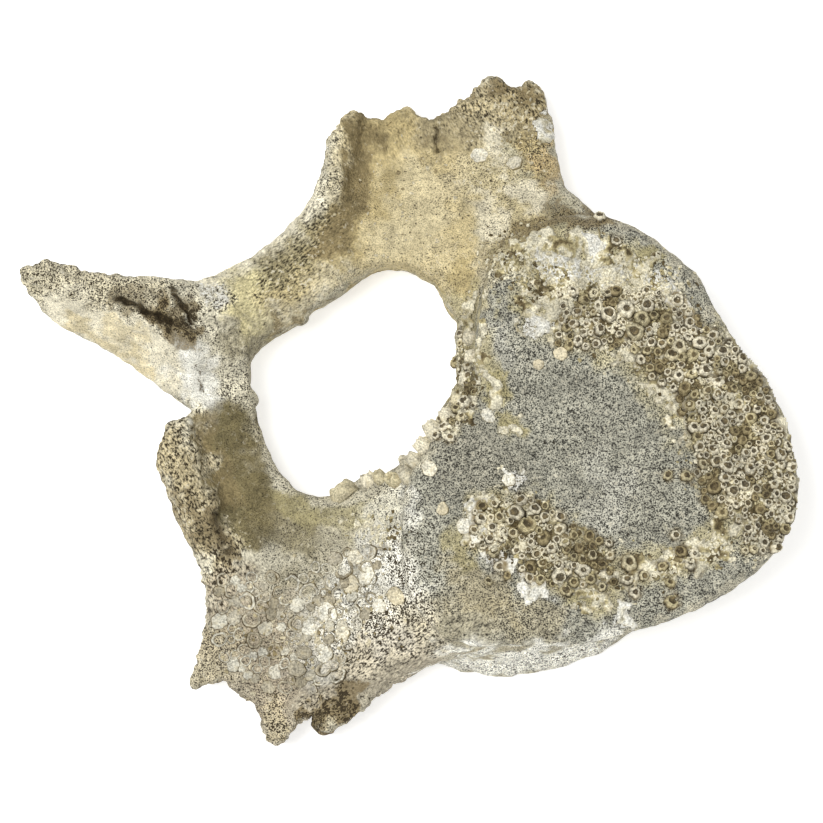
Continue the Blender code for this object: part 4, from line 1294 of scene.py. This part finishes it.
def less(tree, first, second):
    """One value less another."""
    return maths(tree, "SUBTRACT", first, second)


def lit(tree, colour, share):
    """Colour made darker or lighter by a share."""
    made = add(tree, "ShaderNodeVectorMath", [(0, colour), (1, share)], operation="MULTIPLY")
    return made.outputs[0]


def blend(tree, share, first, second):
    """Mix of two colours."""
    inputs = [("Factor", share), (6, first), (7, second)]
    return add(tree, "ShaderNodeMix", inputs, data_type="RGBA").outputs[2]


def streaks(tree, place, size, degrees, stretch):
    """Noise that runs along one direction of the page."""
    angle = (0.0, 0.0, math.radians(-degrees))
    turned = add(tree, "ShaderNodeMapping", [("Vector", place), ("Rotation", angle)]).outputs[0]
    shares = (1.0 / stretch, 1.0, 1.0)
    longer = add(tree, "ShaderNodeMapping", [("Vector", turned), ("Scale", shares)]).outputs[0]
    return grain(tree, longer, size, 3.0, 0.65)


def crisp(tree, field, fine, medium, low, high):
    """Share of a patch whose edge is torn by fine and medium noise."""
    torn = times(tree, fine, 1.3, times(tree, medium, 1.5, field))
    return ramp(tree, torn, low + 1.4, high + 1.4)


def dress(tree, colour, roughness, height, strength, depth):
    """Gives the surface of a material its colour, its roughness and a fine relief."""
    inputs = [("Strength", strength), ("Distance", depth * MM), ("Height", height)]
    relief = add(tree, "ShaderNodeBump", inputs).outputs[0]
    feed(tree, tree.nodes["Principled BSDF"], [
        ("Base Color", colour), ("Roughness", roughness), ("Normal", relief),
        ("Specular IOR Level", 0.25),
    ])


def bone_material():
    """Weathered bone: stained, peppered and full of pores, with painted shade in crevices and by
    barnacles.
    """
    material, tree = new_material("weathered bone")
    place = object_place(tree)
    pores = mark(tree, "pores")
    fine = grain(tree, place, 0.82, 1.0)
    medium = grain(tree, place, 2.7)
    grained = fine
    for name, size, degrees, stretch in (("rising", 1.0, 38.0, 1.7), ("falling", 1.05, -62.0, 1.9)):
        run = streaks(tree, place, size, degrees, stretch)
        grained = times(tree, mark(tree, name), less(tree, run, grained), grained)

    # Light and dark clouds, and specks that are stronger where there are pores
    contrast = ramp(tree, maths(tree, "MAXIMUM", mark(tree, "pepper"), pores), 0.08, 0.8, 0.32, 1.0)
    patchy = ramp(tree, grain(tree, place, 22.0, 2.0), 0.35, 0.65, 0.72, 1.12)
    slope = times(tree, less(tree, grained, 0.5), 7.5)
    slope = times(tree, less(tree, medium, 0.5), 3.0, slope)
    speckle = times(tree, slope, times(tree, contrast, patchy), 1.0)
    speckle = ramp(tree, speckle, 0.16, 2.2, 0.16, 2.2)
    speckle = times(tree, speckle, ramp(tree, pores, 0.3, 1.0, 1.0, 1.15))
    mottle = ramp(tree, grain(tree, place, 13.0, 4.0, 0.65), 0.3, 0.7, 0.72, 1.22)
    small_mottle = ramp(tree, grain(tree, place, 5.0, 4.0, 0.7), 0.3, 0.7, 0.84, 1.16)
    shade = times(tree, times(tree, mottle, speckle), small_mottle)
    colour = lit(tree, mark(tree, "stain", "Color"), shade)

    # Pale flecks, brown dirt and white chalk
    fleck = ramp(tree, times(tree, grained, 0.35, medium), 0.78, 0.85, 0.0, 0.7)
    fleck = times(tree, fleck, ramp(tree, pores, 0.1, 0.3, 0.15, 1.0))
    colour = blend(tree, fleck, colour, CREAM)
    brown = crisp(tree, mark(tree, "brown"), grained, medium, 0.22, 0.75)
    browned = blend(tree, ramp(tree, grained, 0.32, 0.6), SOOT, BROWN)
    colour = blend(tree, times(tree, brown, 0.8), colour, browned)
    chalk = crisp(tree, mark(tree, "chalk"), fine, medium, 0.36, 0.72)
    chalky = blend(tree, ramp(tree, grained, 0.32, 0.52), TAN, CHALK)
    colour = blend(tree, times(tree, chalk, 0.9), colour, chalky)

    # Painted shade at the foot of the barnacles, dark pores, and painted shade in the crevices
    foot = times(tree, mark(tree, "shell_foot_shade"), ramp(tree, medium, 0.35, 0.6, 0.95, 0.4))
    colour = blend(tree, foot, colour, blend(tree, ramp(tree, fine, 0.35, 0.65), DARK, BROWN))
    mixed = times(tree, medium, 0.45, times(tree, grained, 0.55))
    holes = ramp(tree, less(tree, times(tree, pores, 0.122, 0.34), mixed), 0.0, 0.03)
    darkness = ramp(tree, pores, 0.5, 1.2, 0.8, 0.97)
    colour = blend(tree, times(tree, holes, darkness), colour, DARK)
    # The hollow mark darkens the crevices with dark speckled colour: painted shade
    deep = crisp(tree, mark(tree, "hollow"), grained, grained, 0.36, 0.80)
    crevice_shade_colour = blend(tree, ramp(tree, grained, 0.40, 0.62), CREVICE_SHADE, SOOT)
    colour = blend(tree, times(tree, deep, 0.92), colour, crevice_shade_colour)
    height = times(tree, chalk, 0.5, less(tree, times(tree, grained, 1.4), holes))
    dress(tree, colour, ramp(tree, fine, 0.3, 0.7, 0.82, 0.96), height, 1.0, 0.8)
    return material


def shell_material(name, pale, warm, dull, floor):
    """Barnacle shell: pale walls with a stain of their own, and a darker pit, partly fill and
    partly painted shade.
    """
    material, tree = new_material(name)
    place = object_place(tree)
    shade = mark(tree, "shade")
    cloud = grain(tree, place, 3.2)
    fine = grain(tree, place, 1.0, 2.0)
    colour = blend(tree, ramp(tree, shade, 0.25, 0.6), pale, warm)
    colour = blend(tree, ramp(tree, shade, 0.6, 0.95), colour, dull)
    shaded = ramp(tree, times(tree, cloud, 0.6, fine), 0.6, 1.0, 0.45, 1.35)
    patchy = ramp(tree, grain(tree, place, 16.0, 2.0), 0.35, 0.65, 0.76, 1.2)
    colour = lit(tree, colour, times(tree, shaded, patchy))
    colour = blend(tree, ramp(tree, cloud, 0.52, 0.72, 0.0, 0.6), colour, TAN)
    bottom = blend(tree, ramp(tree, cloud, 0.46, 0.72), floor, BROWN)
    bottom = blend(tree, ramp(tree, fine, 0.55, 0.78, 0.0, 0.6), bottom, TAN)
    colour = blend(tree, ramp(tree, mark(tree, "pit"), 0.05, 0.95, 0.0, 0.95), colour, bottom)
    dress(tree, colour, 0.8, fine, 0.9, 0.45)
    return material


def coat(piece, material):
    """Gives a piece its material."""
    piece.data.materials.clear()
    piece.data.materials.append(material)


def turned_to(thing, place, axis):
    """Puts a lamp or the camera in its place, with its back along an axis."""
    thing.location = place
    thing.rotation_mode = "QUATERNION"
    thing.rotation_quaternion = axis.to_track_quat("Z", "Y")
    return thing


def stage():
    """Pale floor, soft light and the camera."""
    skin = bmesh.new()
    bmesh.ops.create_grid(skin, x_segments=1, y_segments=1, size=FLOOR_REACH)
    floor = new_object("floor", skin)
    material, tree = new_material("pale floor")
    feed(tree, tree.nodes["Principled BSDF"], [
        ("Base Color", (FLOOR_GREY, FLOOR_GREY, FLOOR_GREY, 1.0)), ("Roughness", FLOOR_ROUGHNESS),
        ("Emission Color", (1.0, 1.0, 1.0, 1.0)), ("Emission Strength", FLOOR_LIGHT),
    ])
    coat(floor, material)
    scene = bpy.context.scene
    scene.world = bpy.data.worlds.new("soft light")
    scene.world.use_nodes = True
    tree = scene.world.node_tree
    feed(tree, tree.nodes["Background"], [("Color", (1.0, 1.0, 1.0, 1.0)), ("Strength", SKY_LIGHT)])
    lamp = bpy.data.lights.new("soft lamp", "AREA")
    lamp.energy = LAMP_POWER
    lamp.size = LAMP_WIDTH
    turned_to(in_scene("soft lamp", lamp), LAMP_PLACE, Vector(LAMP_PLACE) - TARGET * MM)
    lens = bpy.data.cameras.new("camera")
    lens.lens = LENS_LENGTH
    lens.sensor_width = SENSOR_WIDTH
    scene.camera = turned_to(in_scene("camera", lens), EYE * MM, SIGHT_AXIS)
    scene.view_settings.view_transform = "Standard"


def main():
    """Bone with its growth, on the stage."""
    vertebra = bone()
    stain(vertebra)
    coat(vertebra, bone_material())
    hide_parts("vertebra")
    bare = ground([vertebra])
    chance = random.Random(SHELL_SEED)
    shells = scatter(chance, list(MEASURED_BARNACLES), SMALL_COLONIES, SMALL_RADII, CROWDING)
    crust = layer("crust", bare, CRUST, shells, *CRUST_SHEET)
    chalk = layer("chalk", bare, CHALK, shells, *CHALK_SHEET)
    grown = ground([vertebra, crust, chalk])
    shell_foot_shade(vertebra, shells)
    barnacles = grow("barnacles", grown, shells + SIDE_BARNACLES, SHELL_PROFILE, chance)
    scars = scatter(chance, [], SCAR_COLONIES, SCAR_RADII, SCAR_CROWDING)
    filled = scars[::3]
    open_scars = [place for place in scars if place not in filled]
    rings = grow("barnacle_scars", bare, open_scars, SCAR_PROFILE, chance, SCAR_HEIGHT)
    discs = grow("scar_discs", bare, filled, BASE_PROFILE, chance, SCAR_HEIGHT)
    bases = grow("barnacle_bases", bare, BARE_BASES, BASE_PROFILE, chance, BARE_BASE_HEIGHT)
    crust_bits = crumbs("crust_crumbs", grown, CRUMB_FIELDS, chance)
    bone_bits = crumbs("bone_crumbs", bare, BONE_CRUMB_FIELDS, chance)
    growth = [
        (barnacles, "barnacle shell"), (rings, "barnacle scars"), (discs, "barnacle scars"),
        (bases, "barnacle bases"), (crust_bits, "crust"), (bone_bits, "bone bits"),
        (crust, "crust"), (chalk, "chalk"),
    ]
    looks = {name: shell_material(name, *colours) for name, colours in SHELL_LOOKS.items()}
    for piece, look in growth:
        coat(piece, looks[look])
    for piece in [vertebra] + [grown_piece for grown_piece, _ in growth]:
        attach(piece, "root")
    stage()


main()
